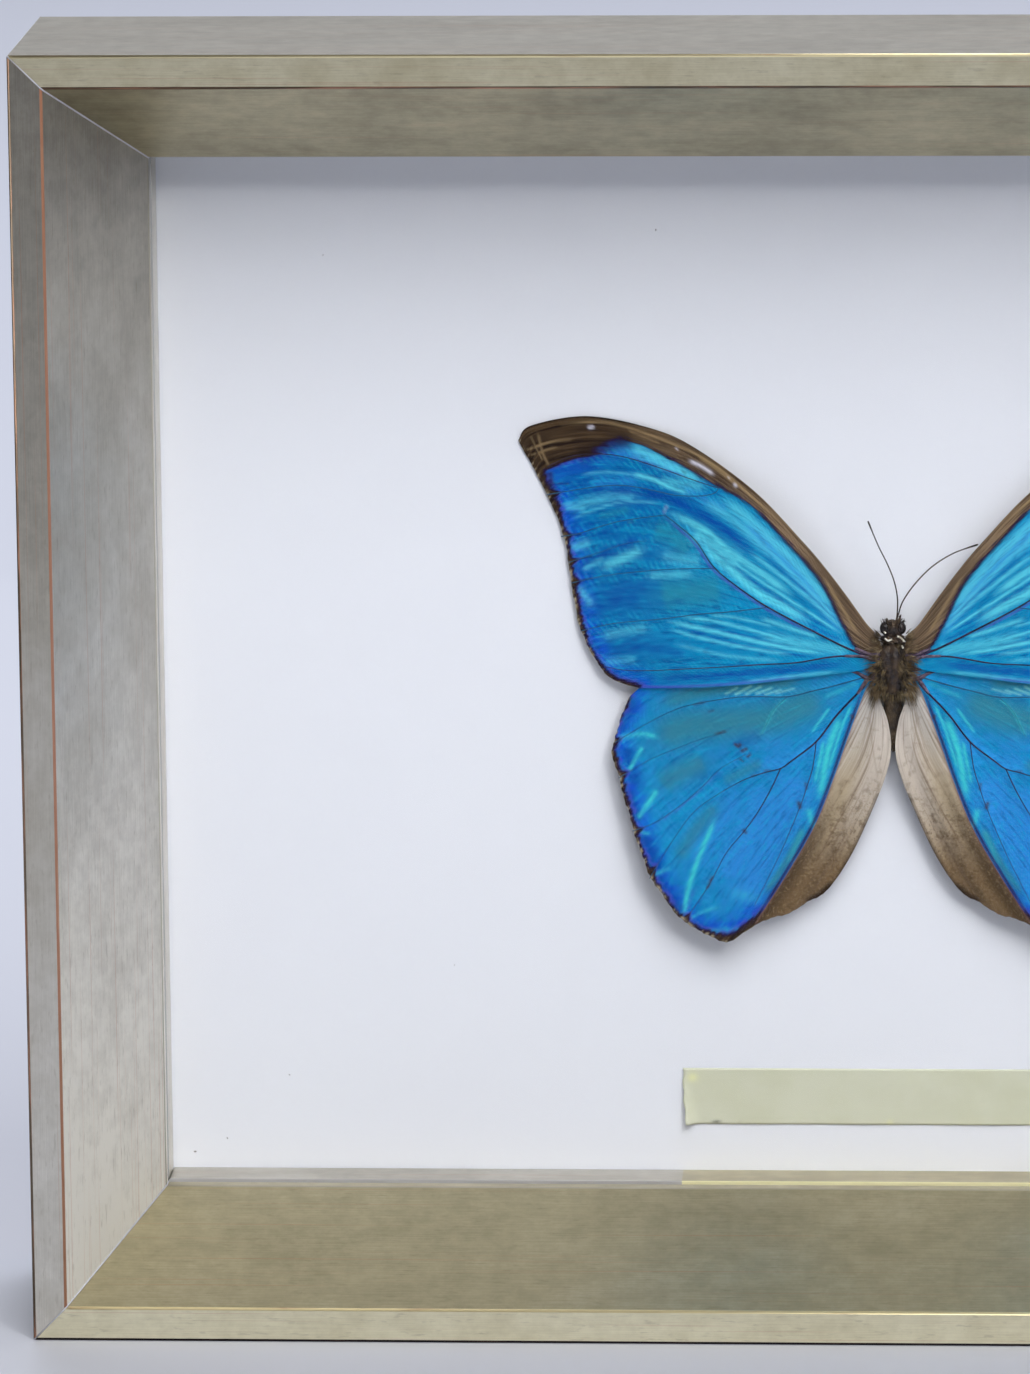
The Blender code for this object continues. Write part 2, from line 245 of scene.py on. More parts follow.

# %% [markdown]
# ## A short way to write finishes
#
# A finish is a Principled shader and the nodes that feed it. Writing every node and link in
# full would hide the idea of each finish, so one small class adds a node, sets it and feeds
# its sockets in a single call. Patterns read Object coordinates, a UV map or an attribute.

# %% The finish class
class Finish:
    """A node material: its methods return sockets, which feed other nodes."""

    def __init__(self, name, **constants):
        self.material = bpy.data.materials.new(name)
        self.material.use_nodes = True
        self.nodes = self.material.node_tree.nodes
        self.links = self.material.node_tree.links
        self.shader = self.nodes["Principled BSDF"]
        self.show(**constants)

    def feed(self, socket, value):
        """Link a socket to another node's output, or set it to a number or a colour."""
        if isinstance(value, bpy.types.NodeSocket):
            self.links.new(value, socket)
        elif socket.type == "RGBA" and len(value) == 3:
            socket.default_value = (*value, 1.0)
        else:
            socket.default_value = value

    def add(self, kind, sockets, **settings):
        """Add a node of a kind, with its settings made and its sockets fed."""
        node = self.nodes.new("ShaderNode" + kind)
        for setting, value in settings.items():
            setattr(node, setting, value)
        for socket, value in sockets.items():
            self.feed(node.inputs[socket], value)
        return node

    def place(self):
        """The place on the object, in metres."""
        return self.add("TexCoord", {}).outputs["Object"]

    def layer(self, name):
        """A number painted on the points of the mesh."""
        return self.add("Attribute", {}, attribute_name=name).outputs["Fac"]

    def unwrapped(self, name):
        """The place on a UV map."""
        return self.add("UVMap", {}, uv_map=name).outputs["UV"]

    def stretched(self, vector, scale, turn=(0, 0, 0)):
        return self.add("Mapping", {"Vector": vector, "Scale": scale, "Rotation": turn}).outputs[0]

    def noise(self, vector, scale, detail=2.0, rough=0.5, swirl=0.0):
        sockets = {"Vector": vector, "Scale": scale, "Detail": detail, "Roughness": rough,
                   "Distortion": swirl}
        return self.add("TexNoise", sockets).outputs["Fac"]

    def streaks(self, scale, detail, roughness, turn=(0, 0, 0), warp=0.0):
        """Stretched noise on the UV map called grain, which runs along a rail."""
        along = self.stretched(self.unwrapped("grain"), scale, turn)
        return self.noise(along, 1.0, detail, roughness, warp)

    def cells(self, vector, scale):
        """The distance from the nearest of many scattered points."""
        return self.add("TexVoronoi", {"Vector": vector, "Scale": scale}).outputs["Distance"]

    def sum(self, operation, first, second):
        return self.add("Math", {0: first, 1: second}, operation=operation).outputs[0]

    def times(self, first, second):
        return self.sum("MULTIPLY", first, second)

    def ramp(self, value, stops):
        """Run through colours at given stops of a value between nought and one."""
        node = self.add("ValToRGB", {"Fac": value})
        for number, (stop, colour) in enumerate(stops):
            if number > 1:
                node.color_ramp.elements.new(stop)
            node.color_ramp.elements[number].position = stop
            node.color_ramp.elements[number].color = (*colour, 1.0)
        return node.outputs["Color"]

    def between(self, value, start, end, low=0.0, high=1.0):
        """Run smoothly from low to high while a value goes from start to end."""
        sockets = {"Value": value, "From Min": start, "From Max": end, "To Min": low, "To Max": high}
        return self.add("MapRange", sockets, interpolation_type="SMOOTHSTEP").outputs[0]

    def blend(self, share, first, second):
        """Go from a first colour to a second as a share goes from nought to one."""
        sockets = {MIX_SHARE: share, MIX_FIRST: first, MIX_SECOND: second}
        return self.add("Mix", sockets, data_type="RGBA").outputs[MIX_RESULT]

    def lay(self, tone, coats):
        """Lay colours over a tone in turn; a coat is how much of it covers, and its colour."""
        for share, colour in coats:
            tone = self.blend(share, tone, colour)
        return tone

    def relief(self, height, distance, strength=1.0, under=None):
        """Raise the surface by a height map, over any relief that lies under it."""
        sockets = {"Height": height, "Distance": distance, "Strength": strength}
        if under is not None:
            sockets["Normal"] = under
        return self.add("Bump", sockets).outputs[0]

    def show(self, **sockets):
        """Feed the shader's own sockets and return the material."""
        for socket, value in sockets.items():
            self.feed(self.shader.inputs[socket.replace("_", " ")], value)
        return self.material


def floor_finish():
    finish = Finish("pale_floor", Roughness=0.6)
    clouds = finish.noise(finish.place(), 3.0, 3.0)
    return finish.show(Base_Color=finish.blend(clouds, (0.75, 0.765, 0.84), (0.78, 0.795, 0.87)))


def flag_finish():
    finish = Finish("dark_cloth", Roughness=0.9)
    return finish.show(Base_Color=(0.03, 0.03, 0.03))


floor.data.materials.append(floor_finish())
flag.data.materials.append(flag_finish())
print("floor and flag finishes made")

# %% [markdown]
# ## From bmesh to a piece
#
# Each piece is drawn with bmesh operators at its real place and then becomes an object at
# the origin. Flat faces stay flat and only narrow strips along the arrises are shaded
# smooth, so broad faces do not pick up false gradients from their rounded edges.

# %% Turn a bmesh into a piece
def new_piece(name, bm, finishes, stands_for=()):
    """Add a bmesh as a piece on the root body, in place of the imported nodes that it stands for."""
    mesh = mesh_from(name, bm)
    for finish in finishes:
        mesh.materials.append(finish)
    piece = placed(name, mesh)
    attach(piece, "root")
    if stands_for:
        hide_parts(*stands_for)
    return piece


SHARP, NEARLY_FLAT, TOUCHING = radians(30.0), radians(1), 0.002 * MM


def soften(bm, width):
    """Round every sharp edge, and shade only the new strips smooth."""
    flat = set(bm.faces)
    sharp = [edge for edge in bm.edges if edge.calc_face_angle(0.0) > SHARP]
    made = bmesh.ops.bevel(bm, geom=sharp, offset=width, offset_type="OFFSET", segments=2,
                           profile=0.5, affect="EDGES", clamp_overlap=True, material=-1)
    for face in made["faces"]:
        face.smooth = face not in flat


def softened_copy(node, width, finish):
    """Stand a piece with rounded edges in the place of a sharp-edged node."""
    bm = bmesh.new()
    bm.from_mesh(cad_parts[node].data)
    bmesh.ops.remove_doubles(bm, verts=bm.verts, dist=TOUCHING)
    bmesh.ops.dissolve_limit(bm, angle_limit=NEARLY_FLAT, verts=bm.verts, edges=bm.edges)
    soften(bm, width)
    return new_piece(node + "_finished", bm, [finish], [node])


print("piece helpers ready")

# %% [markdown]
# ## Gilding
#
# The moulding is gilded with a pale leaf over red clay bole and rubbed lengthwise with fine
# wool. The level rails are champagne gold and the uprights silvery; the uprights' cooler,
# silvery tone is painted reflection of a cool light on the right. One function makes the
# leaf from either row of tones. Rubbing gives three scales of detail: hair-fine scratches
# along the rail, soft clouds, and edges where the clay shows.
#
# A UV map holds the distance along the rail and round its profile, so the scratches run
# along each rail whichever way it lies. A corner attribute holds how bright each face's
# leaf is, and the tone, the metal and the shine all follow it. That brightness is painted
# light: it stands in for the reflections and shade that fall on each face.

# %% The leaf
GOLD_TONES = [(0.0, (0.130, 0.112, 0.072)), (0.5, (0.540, 0.480, 0.305)),
              (1.0, (0.980, 0.925, 0.690))]
SILVER_TONES = [(0.0, (0.130, 0.118, 0.098)), (0.5, (0.530, 0.498, 0.424)),
                (0.75, (0.700, 0.670, 0.600)), (1.0, (0.980, 0.950, 0.875))]
LEAF_WORN = (0.25, 0.205, 0.13)
BOLE, BOLE_DARK = (0.60, 0.300, 0.180), (0.40, 0.165, 0.095)


def leaf_finish(name, tones):
    """Make leaf that goes through a row of tones as its painted light, which stands for reflections and
    shade, rises.
    """
    finish = Finish(name, Coat_Weight=0.15, Coat_Roughness=0.35)
    # The brightness painted on each face, standing in for its reflections and shade.
    painted_light = finish.layer("painted_light")
    scratches = finish.streaks((75, 4600, 1), 3.0, 0.65)
    hairlines = finish.streaks((7, 2300, 1), 2.0, 0.55)
    rubs = finish.streaks((260, 1500, 1), 3.0, 0.6, turn=(0, 0, 0.8))
    clouds = finish.streaks((34, 58, 1), 4.0, 0.55)
    mottle = finish.streaks((230, 270, 1), 5.0, 0.68)
    specks = finish.streaks((520, 900, 1), 3.0, 0.7)
    shine = finish.sum("ADD", painted_light, finish.between(clouds, 0.3, 0.7, -0.070, 0.060))
    shine = finish.sum("ADD", shine, finish.between(mottle, 0.3, 0.7, -0.062, 0.050))
    shine = finish.sum("ADD", shine, finish.between(scratches, 0.3, 0.7, 0.035, -0.045))
    tone = finish.lay(finish.ramp(shine, tones), [
        (finish.between(hairlines, 0.62, 0.69, 0.0, 0.38), BOLE),
        (finish.between(rubs, 0.56, 0.72, 0.0, 0.22), LEAF_WORN),
        (finish.between(specks, 0.70, 0.80, 0.0, 0.45), LEAF_WORN),
    ])
    relief = finish.relief(scratches, 0.05 * MM, 0.6)
    relief = finish.relief(rubs, 0.03 * MM, 0.3, relief)
    satin = finish.sum("ADD", finish.between(clouds, 0.3, 0.7, 0.43, 0.35),
                       finish.between(painted_light, 0.6, 1.0, 0.0, 0.18))
    metal = finish.between(painted_light, 0.78, 1.05, 0.92, 0.42)
    return finish.show(Base_Color=tone, Metallic=metal, Roughness=satin, Normal=relief)


gold_leaf = leaf_finish("champagne_leaf", GOLD_TONES)
silver_leaf = leaf_finish("silvery_leaf", SILVER_TONES)
print("leaf finishes:", gold_leaf.name, silver_leaf.name)

# %% [markdown]
# ## Arrises
#
# The long edges of each rail have been rubbed hardest. On the uprights the leaf is gone from
# the inner edge and a thin line of red clay shows. On the level rails the edge that faces up
# is bright gold, a painted highlight, with a thread of real clay in it. The top rail's inner
# edge and the outer edges of the uprights are painted dark, as shade. One finish does all of
# these, with a different share of clay and another colour of leaf. The lowest edge is painted
# nearly black, as the shadow where the frame stands on the floor, and has a finish of its own.

# %% Worn arrises, painted highlights and painted shade
PATCH_BLUR = 0.12


def arris_finish(name, clay, glint, metal=0.9):
    """Make the finish of a rubbed edge: clay is the share of bole that shows."""
    finish = Finish(name, Coat_Weight=0.2, Coat_Roughness=0.25)
    patches = finish.streaks((55, 1500, 1), 4.0, 0.65)
    fine = finish.streaks((260, 4000, 1), 3.0, 0.6)
    red = finish.blend(fine, BOLE, BOLE_DARK)
    bared = finish.between(patches, 1.0 - clay - PATCH_BLUR, 1.0 - clay + PATCH_BLUR)
    return finish.show(Base_Color=finish.blend(bared, glint, red),
                       Metallic=finish.between(bared, 0.3, 0.8, metal, 0.25 * metal),
                       Roughness=finish.between(fine, 0.2, 0.8, 0.28, 0.45))


# The second look's bright gold is a painted highlight on edges that face up, and the last look's dark leaf is
# painted shade.
RUBBED = [("clay_arris", 0.66, (0.80, 0.58, 0.38)), ("painted_highlight_arris", 0.34, (0.98, 0.85, 0.50)),
          ("sight_arris", 0.16, (0.50, 0.45, 0.33)), ("painted_shade_arris", 0.45, (0.16, 0.12, 0.08))]
red_arris, lit_arris, thin_arris, painted_shade_arris = [arris_finish(*look) for look in RUBBED]


def shadow_edge_finish():
    """Make the finish of the lowest edge: painted shadow where the frame stands on the floor."""
    finish = Finish("painted_shadow_arris", Specular_IOR_Level=0.2)
    grain = finish.streaks((120, 2600, 1), 3.0, 0.6)
    # Nearly black: painted shadow under the frame's front edge.
    tone = finish.blend(finish.between(grain, 0.45, 0.75), (0.010, 0.006, 0.010),
                        (0.070, 0.045, 0.035))
    return finish.show(Base_Color=tone, Roughness=finish.between(grain, 0.2, 0.8, 0.5, 0.7))


painted_shadow_arris = shadow_edge_finish()
print("arris finishes:", len(RUBBED) + 1)

# %% [markdown]
# ## Bare wood
#
# The back and the rabbet are never gilded. They stay bare, pale, close-grained wood, with
# the growth rings running along each rail. One stretched noise makes the rings, a finer one
# makes the pores, and the cut ends under the mitres share both.

# %% Bare wood
def wood_finish():
    finish = Finish("bare_wood", Specular_IOR_Level=0.3)
    rings = finish.streaks((9, 420, 1), 4.0, 0.6, warp=0.8)
    pores = finish.streaks((160, 5200, 1), 2.0, 0.7)
    tone = finish.blend(finish.between(rings, 0.3, 0.7), (0.58, 0.40, 0.235), (0.42, 0.26, 0.135))
    tone = finish.blend(finish.between(pores, 0.58, 0.8, 0.0, 0.6), tone, (0.24, 0.13, 0.06))
    return finish.show(Base_Color=tone, Roughness=finish.between(rings, 0.2, 0.8, 0.62, 0.78),
                       Normal=finish.relief(pores, 0.05 * MM, 0.6))


bare_wood = wood_finish()
print("wood finish:", bare_wood.name)

# %% [markdown]
# ## Rails
#
# A picture framer cuts rails from one long moulding, and so does this code. The profile is a
# face whose corners are rounded with a vertex bevel. It is extruded to length, and two
# planes cut the mitres. Working with the operator keeps each arris a strip of faces that can
# take its own finish. The walk round the profile gives every corner its distance, which
# becomes the second UV coordinate. The painted light, the leaf's brightness that stands in
# for its reflections and shade, goes evenly from one end of a rail to the other, which keeps
# a slow change of brightness along it.

# %% Draw one rail
PROFILE = [(0, DEPTH), (0, 0), (LIP_INSET, LIP_DEPTH), (SIGHT_INSET, SIGHT_DEPTH),
           (SIGHT_INSET, SIGHT_DEPTH + SIGHT_LIP), (RABBET_INSET, SIGHT_DEPTH + SIGHT_LIP),
           (RABBET_INSET, DEPTH)]
ROUND_STEPS = 3
ROUNDING = [0.8 * MM, 0.5 * MM, 0.32 * MM, 0.3 * MM, 0.2 * MM, 0.1 * MM, 0.3 * MM]


def rounded_profile(bm, start, profile, rounding):
    """Draw a profile as one face across X = start, each corner with its own rounding."""
    bm.faces.new([bm.verts.new((start, depth, inset)) for inset, depth in profile])
    places = [vert.co.copy() for vert in bm.verts]
    for place, radius in zip(places, rounding):
        near = min(bm.verts, key=lambda vert: (vert.co - place).length)
        bmesh.ops.bevel(bm, geom=[near], offset=radius, offset_type="OFFSET", segments=ROUND_STEPS,
                        profile=0.5, affect="VERTICES", material=-1)
    return bm.faces[:][0]


def girths(face):
    """Return the distance round a profile for each of its corners, keyed by its place."""
    around, total = {}, 0.0
    loops = list(face.loops)
    first = min(range(len(loops)), key=lambda n: (loops[n].vert.co.z, -loops[n].vert.co.y))
    if loops[(first + 1) % len(loops)].vert.co.z > loops[first - 1].vert.co.z:
        loops = [loops[first - n] for n in range(len(loops))]
    else:
        loops = [loops[(first + n) % len(loops)] for n in range(len(loops))]
    for loop, after in zip(loops, loops[1:] + loops[:1]):
        around[key_of(loop.vert)] = total
        total += (after.vert.co - loop.vert.co).length
    return around


def key_of(vert):
    """Return a corner's place in the profile, rounded so that both ends agree."""
    return round(vert.co.y / MM, 3), round(vert.co.z / MM, 3)


def cut_across(bm, place, direction, clear):
    """Cut a whole bmesh by a plane, and clear away what lies beyond it if asked to."""
    return bmesh.ops.bisect_plane(bm, geom=bm.verts[:] + bm.edges[:] + bm.faces[:],
                                  plane_co=place, plane_no=direction, clear_outer=clear)


def cut_mitres(bm, length):
    """Cut both ends of a rail at 45 degrees and close them."""
    for side in (-1, 1):
        outwards = Vector((side, 0, 1)).normalized()
        corner = Vector((side * length / 2, 0, 0)) - outwards * JOINT / 2
        cut = cut_across(bm, corner, outwards, True)
        rim = [item for item in cut["geom_cut"] if isinstance(item, bmesh.types.BMEdge)]
        bmesh.ops.contextual_create(bm, geom=rim)


def faces_along(face):
    """Say whether a face looks along its rail, as the mitred ends do."""
    return abs(face.normal.x) > 0.5


def rail(length, profile, rounding, shift, painted_light_of):
    """Return a mitred rail along X with its grain map and its painted light.

    Shift keeps two rails' grain apart, and the last argument gives a face's painted light, the brightness
    that stands in for reflections and shade, at both ends.
    """
    bm = bmesh.new()
    face = rounded_profile(bm, -length / 2, profile, rounding)
    around = girths(face)
    far = points_of(bmesh.ops.extrude_face_region(bm, geom=[face]))
    bmesh.ops.translate(bm, verts=far, vec=(length, 0, 0))
    cut_mitres(bm, length)
    bmesh.ops.recalc_face_normals(bm, faces=bm.faces)
    grain = bm.loops.layers.uv.new("grain")
    # Each corner's painted light: brightness that stands in for reflections and shade.
    painted_light = bm.loops.layers.float.new("painted_light")
    for face in bm.faces:
        start, end = painted_light_of(face)
        for loop in face.loops:
            spot = loop.vert.co
            loop[painted_light] = start + (end - start) * (spot.x / length + 0.5)
            if faces_along(face):
                loop[grain].uv = (spot.y, spot.z)
            else:
                loop[grain].uv = (spot.x + shift, around[key_of(loop.vert)])
    return bm


trial = rail(WIDTH, PROFILE, ROUNDING, 0.0, lambda face: (0.5, 0.5))
print("rail:", len(trial.faces), "faces")
trial.free()

# %% [markdown]
# ## The four rails
#
# The same rail makes all four sides, turned about the middle of its own outer face. Each
# face then takes a finish by where it lies in the profile: leaf on the outside, the lip and
# the slope, a strip on each arris, worn to clay or painted as highlight or shade, and bare
# wood behind the glass. The painted light of the lip, the slope and the outside of each rail
# is a table, with a value for both ends. It paints in the reflections and shade that each
# face shows: the top rail's slope is dark, and the left upright brightens towards the bottom.

# %% Place the rails
LEAF, INNER_ARRIS, OUTER_ARRIS, SIGHT_ARRIS, WOOD, OUTSIDE = range(6)
ARRISES = [(PROFILE[2], INNER_ARRIS), (PROFILE[1], OUTER_ARRIS), (PROFILE[3], SIGHT_ARRIS)]
ARRIS_REACH, NARROW, BACK_ROUND = 0.6 * MM, 0.05 * MM, 0.5 * MM
STRAIGHT = 0.9
MIDDLE = low.z + HEIGHT / 2
SIDES = {
    "bottom": (WIDTH, Vector((0, FRONT, low.z)), 0.0),
    "top": (WIDTH, Vector((0, FRONT, high.z)), pi),
    "left": (HEIGHT, Vector((low.x, FRONT, MIDDLE)), pi / 2),
    "right": (HEIGHT, Vector((high.x, FRONT, MIDDLE)), -pi / 2),
}


def part_of_profile(face):
    """Say which finish a face of the moulding takes."""
    middle = face.calc_center_median()
    inset, depth = middle.z, middle.y
    for (arris_inset, arris_depth), number in ARRISES:
        if abs(inset - arris_inset) < ARRIS_REACH and abs(depth - arris_depth) < ARRIS_REACH:
            return number
    if face.normal.z < -STRAIGHT:
        return OUTSIDE
    hidden = depth > SIGHT_DEPTH + SIGHT_LIP - NARROW and inset > BACK_ROUND
    return WOOD if hidden or faces_along(face) else LEAF


def place_side(name, bm, side, finishes, stands_for):
    """Turn a length to its side of the frame and add it as a piece."""
    _, place, turn = SIDES[side]
    bmesh.ops.transform(bm, matrix=Matrix.Translation(place) @ Matrix.Rotation(turn, 4, "Y"),
                        verts=bm.verts)
    return new_piece(name, bm, finishes, [stands_for])


NODE_OF_SIDE = {"bottom": "frame_rail_bottom", "top": "frame_rail_top",
                "left": "frame_stile_left", "right": "frame_stile_right"}
# Inner and outer arris of each side: bright gold is a painted highlight where an edge faces up, the dark ones
# painted shade, the lowest edge painted shadow.
EDGES_OF_SIDE = {"bottom": (lit_arris, painted_shadow_arris), "top": (painted_shade_arris, lit_arris),
                 "left": (red_arris, painted_shade_arris), "right": (red_arris, painted_shade_arris)}
# Painted light of each face at both ends of its rail: brightness standing in for reflections and shade.
PAINTED_LIGHT = {
    "bottom": {"lip": (0.88, 0.88), "slope": (0.48, 0.53), "outer": (0.45, 0.45)},
    "top": {"lip": (0.70, 0.70), "slope": (0.33, 0.32), "outer": (0.40, 0.40)},
    "left": {"lip": (0.32, 0.79), "slope": (0.34, 1.12), "outer": (0.40, 0.50)},
    "right": {"lip": (0.80, 0.40), "slope": (0.75, 0.42), "outer": (0.50, 0.40)},
}


def painted_light_on(side):
    """Return a function that gives a face's painted light at both ends of its rail."""
    def painted_light_of(face):
        if face.normal.z < -STRAIGHT:
            return PAINTED_LIGHT[side]["outer"]
        return PAINTED_LIGHT[side]["lip" if face.normal.y < -STRAIGHT else "slope"]
    return painted_light_of


GRAIN_STEP = 1.7
for number, (side, node) in enumerate(NODE_OF_SIDE.items()):
    # The uprights take the silvery leaf as painted reflection of a cool light on the right.
    leaf = silver_leaf if side in ("left", "right") else gold_leaf
    bm = rail(SIDES[side][0], PROFILE, ROUNDING, number * GRAIN_STEP, painted_light_on(side))
    for face in bm.faces:
        face.material_index = part_of_profile(face)
        face.smooth = face.material_index in (INNER_ARRIS, OUTER_ARRIS, SIGHT_ARRIS)
    inner, outer = EDGES_OF_SIDE[side]
    finishes = [leaf, inner, outer, thin_arris, bare_wood, silver_leaf]
    place_side("moulding_" + side, bm, side, finishes, node)
    print(side, "rail:", SIDES[side][0] / MM, "mm long")

# %% [markdown]
# ## Spacers
#
# Four thin gilded strips stand behind the glass, flush with the sight edge. They are the
# same mitred length with a plain profile, so the same function draws them. Most of their
# leaf is silvery, brighter on the uprights as painted reflection of the white board. From
# below the label's left end rightwards the bottom strip is painted bright gold, a painted
# highlight for the light that the glossy label throws down onto it.

# %% Place the spacers
SPACER_PROFILE = [(FILLING_INSET, SPACER_BACK - FRONT), (FILLING_INSET, SPACER_FRONT - FRONT),
                  (SIGHT_INSET, SPACER_FRONT - FRONT), (SIGHT_INSET, SPACER_BACK - FRONT)]
# A share of clay below nought leaves none of it in sight.
NO_CLAY, STRIP_METAL = -0.10, 0.1
# The bright strip edge is a painted highlight: light thrown by the glossy label onto the bottom strip.
label_light_edge = arris_finish("painted_highlight_strip_edge", NO_CLAY, (0.90, 0.86, 0.52), STRIP_METAL)
dim_edge = arris_finish("dim_strip_edge", NO_CLAY, (0.50, 0.49, 0.48), STRIP_METAL)
STRIP_EASE, STRIP_GRAIN_START, STRIP_GRAIN_STEP = 0.15 * MM, 0.9, 1.3
# Each strip's painted light: brightness standing in for the reflections it shows.
STRIP_PAINTED_LIGHT = {"bottom": 0.52, "top": 0.60, "left": 0.68, "right": 0.68}
# The level of the painted highlight from the label.
LABEL_LIGHT_LEVEL, TILTED = 0.47, 0.3
PLAIN_STRIP, STRIP_EDGE, LABEL_LIT_EDGE, LABEL_LIT_STRIP = range(4)


def paint_label_light_from(bm, across):
    """Brighten the part of the bottom strip under and right of the label: a painted highlight for the light
    the glossy label throws onto it.
    """
    cut_across(bm, (across, 0, 0), (1, 0, 0), False)
    painted_light = bm.loops.layers.float["painted_light"]
    for face in bm.faces:
        if face.calc_center_median().x > across:
            on_edge = face.material_index == STRIP_EDGE
            face.material_index = LABEL_LIT_EDGE if on_edge else LABEL_LIT_STRIP
            for loop in face.loops:
                loop[painted_light] = LABEL_LIGHT_LEVEL


for number, side in enumerate(SIDES):
    shine = STRIP_PAINTED_LIGHT[side]
    bm = rail(SIDES[side][0], SPACER_PROFILE, [STRIP_EASE] * len(SPACER_PROFILE),
              STRIP_GRAIN_START + number * STRIP_GRAIN_STEP, lambda face: (shine, shine))
    for face in bm.faces:
        face.material_index = STRIP_EDGE if abs(face.normal.y) > TILTED else PLAIN_STRIP
    if side == "bottom":
        paint_label_light_from(bm, LABEL_LOW.x)
    finishes = [silver_leaf, dim_edge, label_light_edge, gold_leaf]
    place_side("gilt_strip_" + side, bm, side, finishes, "spacer_" + side)
print("spacers stand", round((BOARD_FACE - SPACER_FRONT) / MM, 1), "mm in front of the board")

# %% [markdown]
# ## Corner joints
#
# Where two rails meet, a little putty stands proud of the joint and has been touched in with
# silver. A bead with a round section follows the profile across each corner: out of the
# back, over the front and down the slope to the sight edge. A curve with a bevel draws it,
# and is then made a mesh.

# %% Beads of putty on the mitres
def putty_finish():
    finish = Finish("touched_in_putty", Metallic=0.35)
    grain = finish.noise(finish.place(), 900.0, 3.0)
    tone = finish.blend(grain, (0.55, 0.55, 0.58), (0.80, 0.80, 0.86))
    return finish.show(Base_Color=tone, Roughness=finish.between(grain, 0.2, 0.8, 0.35, 0.6))


def tube(name, routes, radius, sides):
    """Return a mesh of round tubes along routes; a route is a list of (point, thickness)."""
    curve = bpy.data.curves.new(name, "CURVE")
    curve.dimensions = "3D"
    curve.bevel_depth = radius
    curve.bevel_resolution = sides
    curve.use_fill_caps = True
    for route in routes:
        spline = curve.splines.new("POLY")
        spline.points.add(len(route) - 1)
        for knot, (point, thickness) in zip(spline.points, route):
            knot.co = (*point, 1.0)
            knot.radius = thickness
    holder = placed(name, curve)
    bpy.context.view_layer.update()
    settled = bpy.context.evaluated_depsgraph_get()
    mesh = bpy.data.meshes.new_from_object(holder.evaluated_get(settled))
    bpy.data.objects.remove(holder)
    return mesh


def tube_piece(name, routes, radius, sides, finish, stands_for=()):
    """Add tubes along routes as a piece."""
    bm = bmesh.new()
    bm.from_mesh(tube(name, routes, radius, sides))
    bmesh.ops.recalc_face_normals(bm, faces=bm.faces)
    smooth(bm)
    return new_piece(name, bm, [finish], stands_for)


# The bead's centre line is sunk a little into the joint, and kept just inside the frame's box.
BEAD_RADIUS, BEAD_INSIDE = 0.15 * MM, 0.16 * MM
BEAD_INSET, BEAD_SUNK, BEAD_BACK = 0.06 * MM, 0.02 * MM, 0.01 * MM
routes = []
for side in (-1, 1):
    for end in (-1, 1):
        route = []
        for inset, depth in PROFILE[:5]:
            inwards = max(inset + BEAD_INSET, BEAD_INSIDE)
            back = min(max(depth + BEAD_SUNK, BEAD_INSIDE), DEPTH - BEAD_BACK)
            corner = (side * (WIDTH / 2 - inwards), FRONT + back,
                      MIDDLE + end * (HEIGHT / 2 - inwards))
            route.append((corner, 1.0))
        routes.append(route)
tube_piece("joint_beads", routes, BEAD_RADIUS, 2, putty_finish())
print("joint beads:", len(routes))

# %% [markdown]
# ## Glass
#
# The pane is clear float glass with a thin low-glare coat. Traced as thick glass it would
# block the lamps, because light that bends through glass is hard for a path tracer to find.
# So its shadow rays pass straight through, which keeps the inside of the box as bright as
# it is in a room, and every other ray meets real glass.

# %% Glass
def glass_finish():
    """Make clear glass whose shadow rays pass straight through."""
    finish = Finish("clear_glass", Base_Color=(0.985, 0.992, 0.99), Roughness=0.0, IOR=1.12,
                    Transmission_Weight=1.0)
    clear = finish.add("BsdfTransparent", {})
    shadow = finish.add("LightPath", {}).outputs["Is Shadow Ray"]
    either = finish.add("MixShader", {0: shadow, 1: finish.shader.outputs[0], 2: clear.outputs[0]})
    finish.links.new(either.outputs[0], finish.nodes["Material Output"].inputs["Surface"])
    return finish.material


def dress(node, finish):
    """Give a node that keeps its own mesh a better finish."""
    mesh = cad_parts[node].data
    mesh.materials.clear()
    mesh.materials.append(finish)


dress("glass_pane", glass_finish())
print("glass finish on glass_pane")

# %% [markdown]
# ## Mount board
#
# Good mount board is not one flat white. It has a faint tooth, very broad clouds of tone
# and a few dark fibres pressed into it. All three are kept so weak that they only show
# close up. The few larger specks of dirt are small flat bits of their own.

# %% Mount board
def board_finish():
    """Make white mount board, with clouds, fibres and a tooth."""
    finish = Finish("white_board", Specular_IOR_Level=0.25)
    place = finish.place()
    clouds = finish.noise(place, 26.0, 3.0)
    tooth = finish.noise(place, 2600.0, 3.0, 0.7)
    fibres = finish.cells(finish.stretched(place, (260, 260, 700), (0, 0.6, 0)), 1.0)
    tone = finish.blend(clouds, (0.800, 0.812, 0.870), (0.815, 0.828, 0.880))
    tone = finish.blend(finish.between(fibres, 0.045, 0.02, 0.0, 0.22), tone, (0.45, 0.45, 0.50))
    return finish.show(Base_Color=tone, Roughness=finish.between(tooth, 0.2, 0.8, 0.62, 0.80),
                       Normal=finish.relief(tooth, 0.02 * MM, 0.5))


dress("mount_board", board_finish())
print("board finish on mount_board")

# %% Specks on the board
SPECK_LIFT, SPECK_STRETCH = 0.05 * MM, (1.5, 0.3, 0.8, 1)
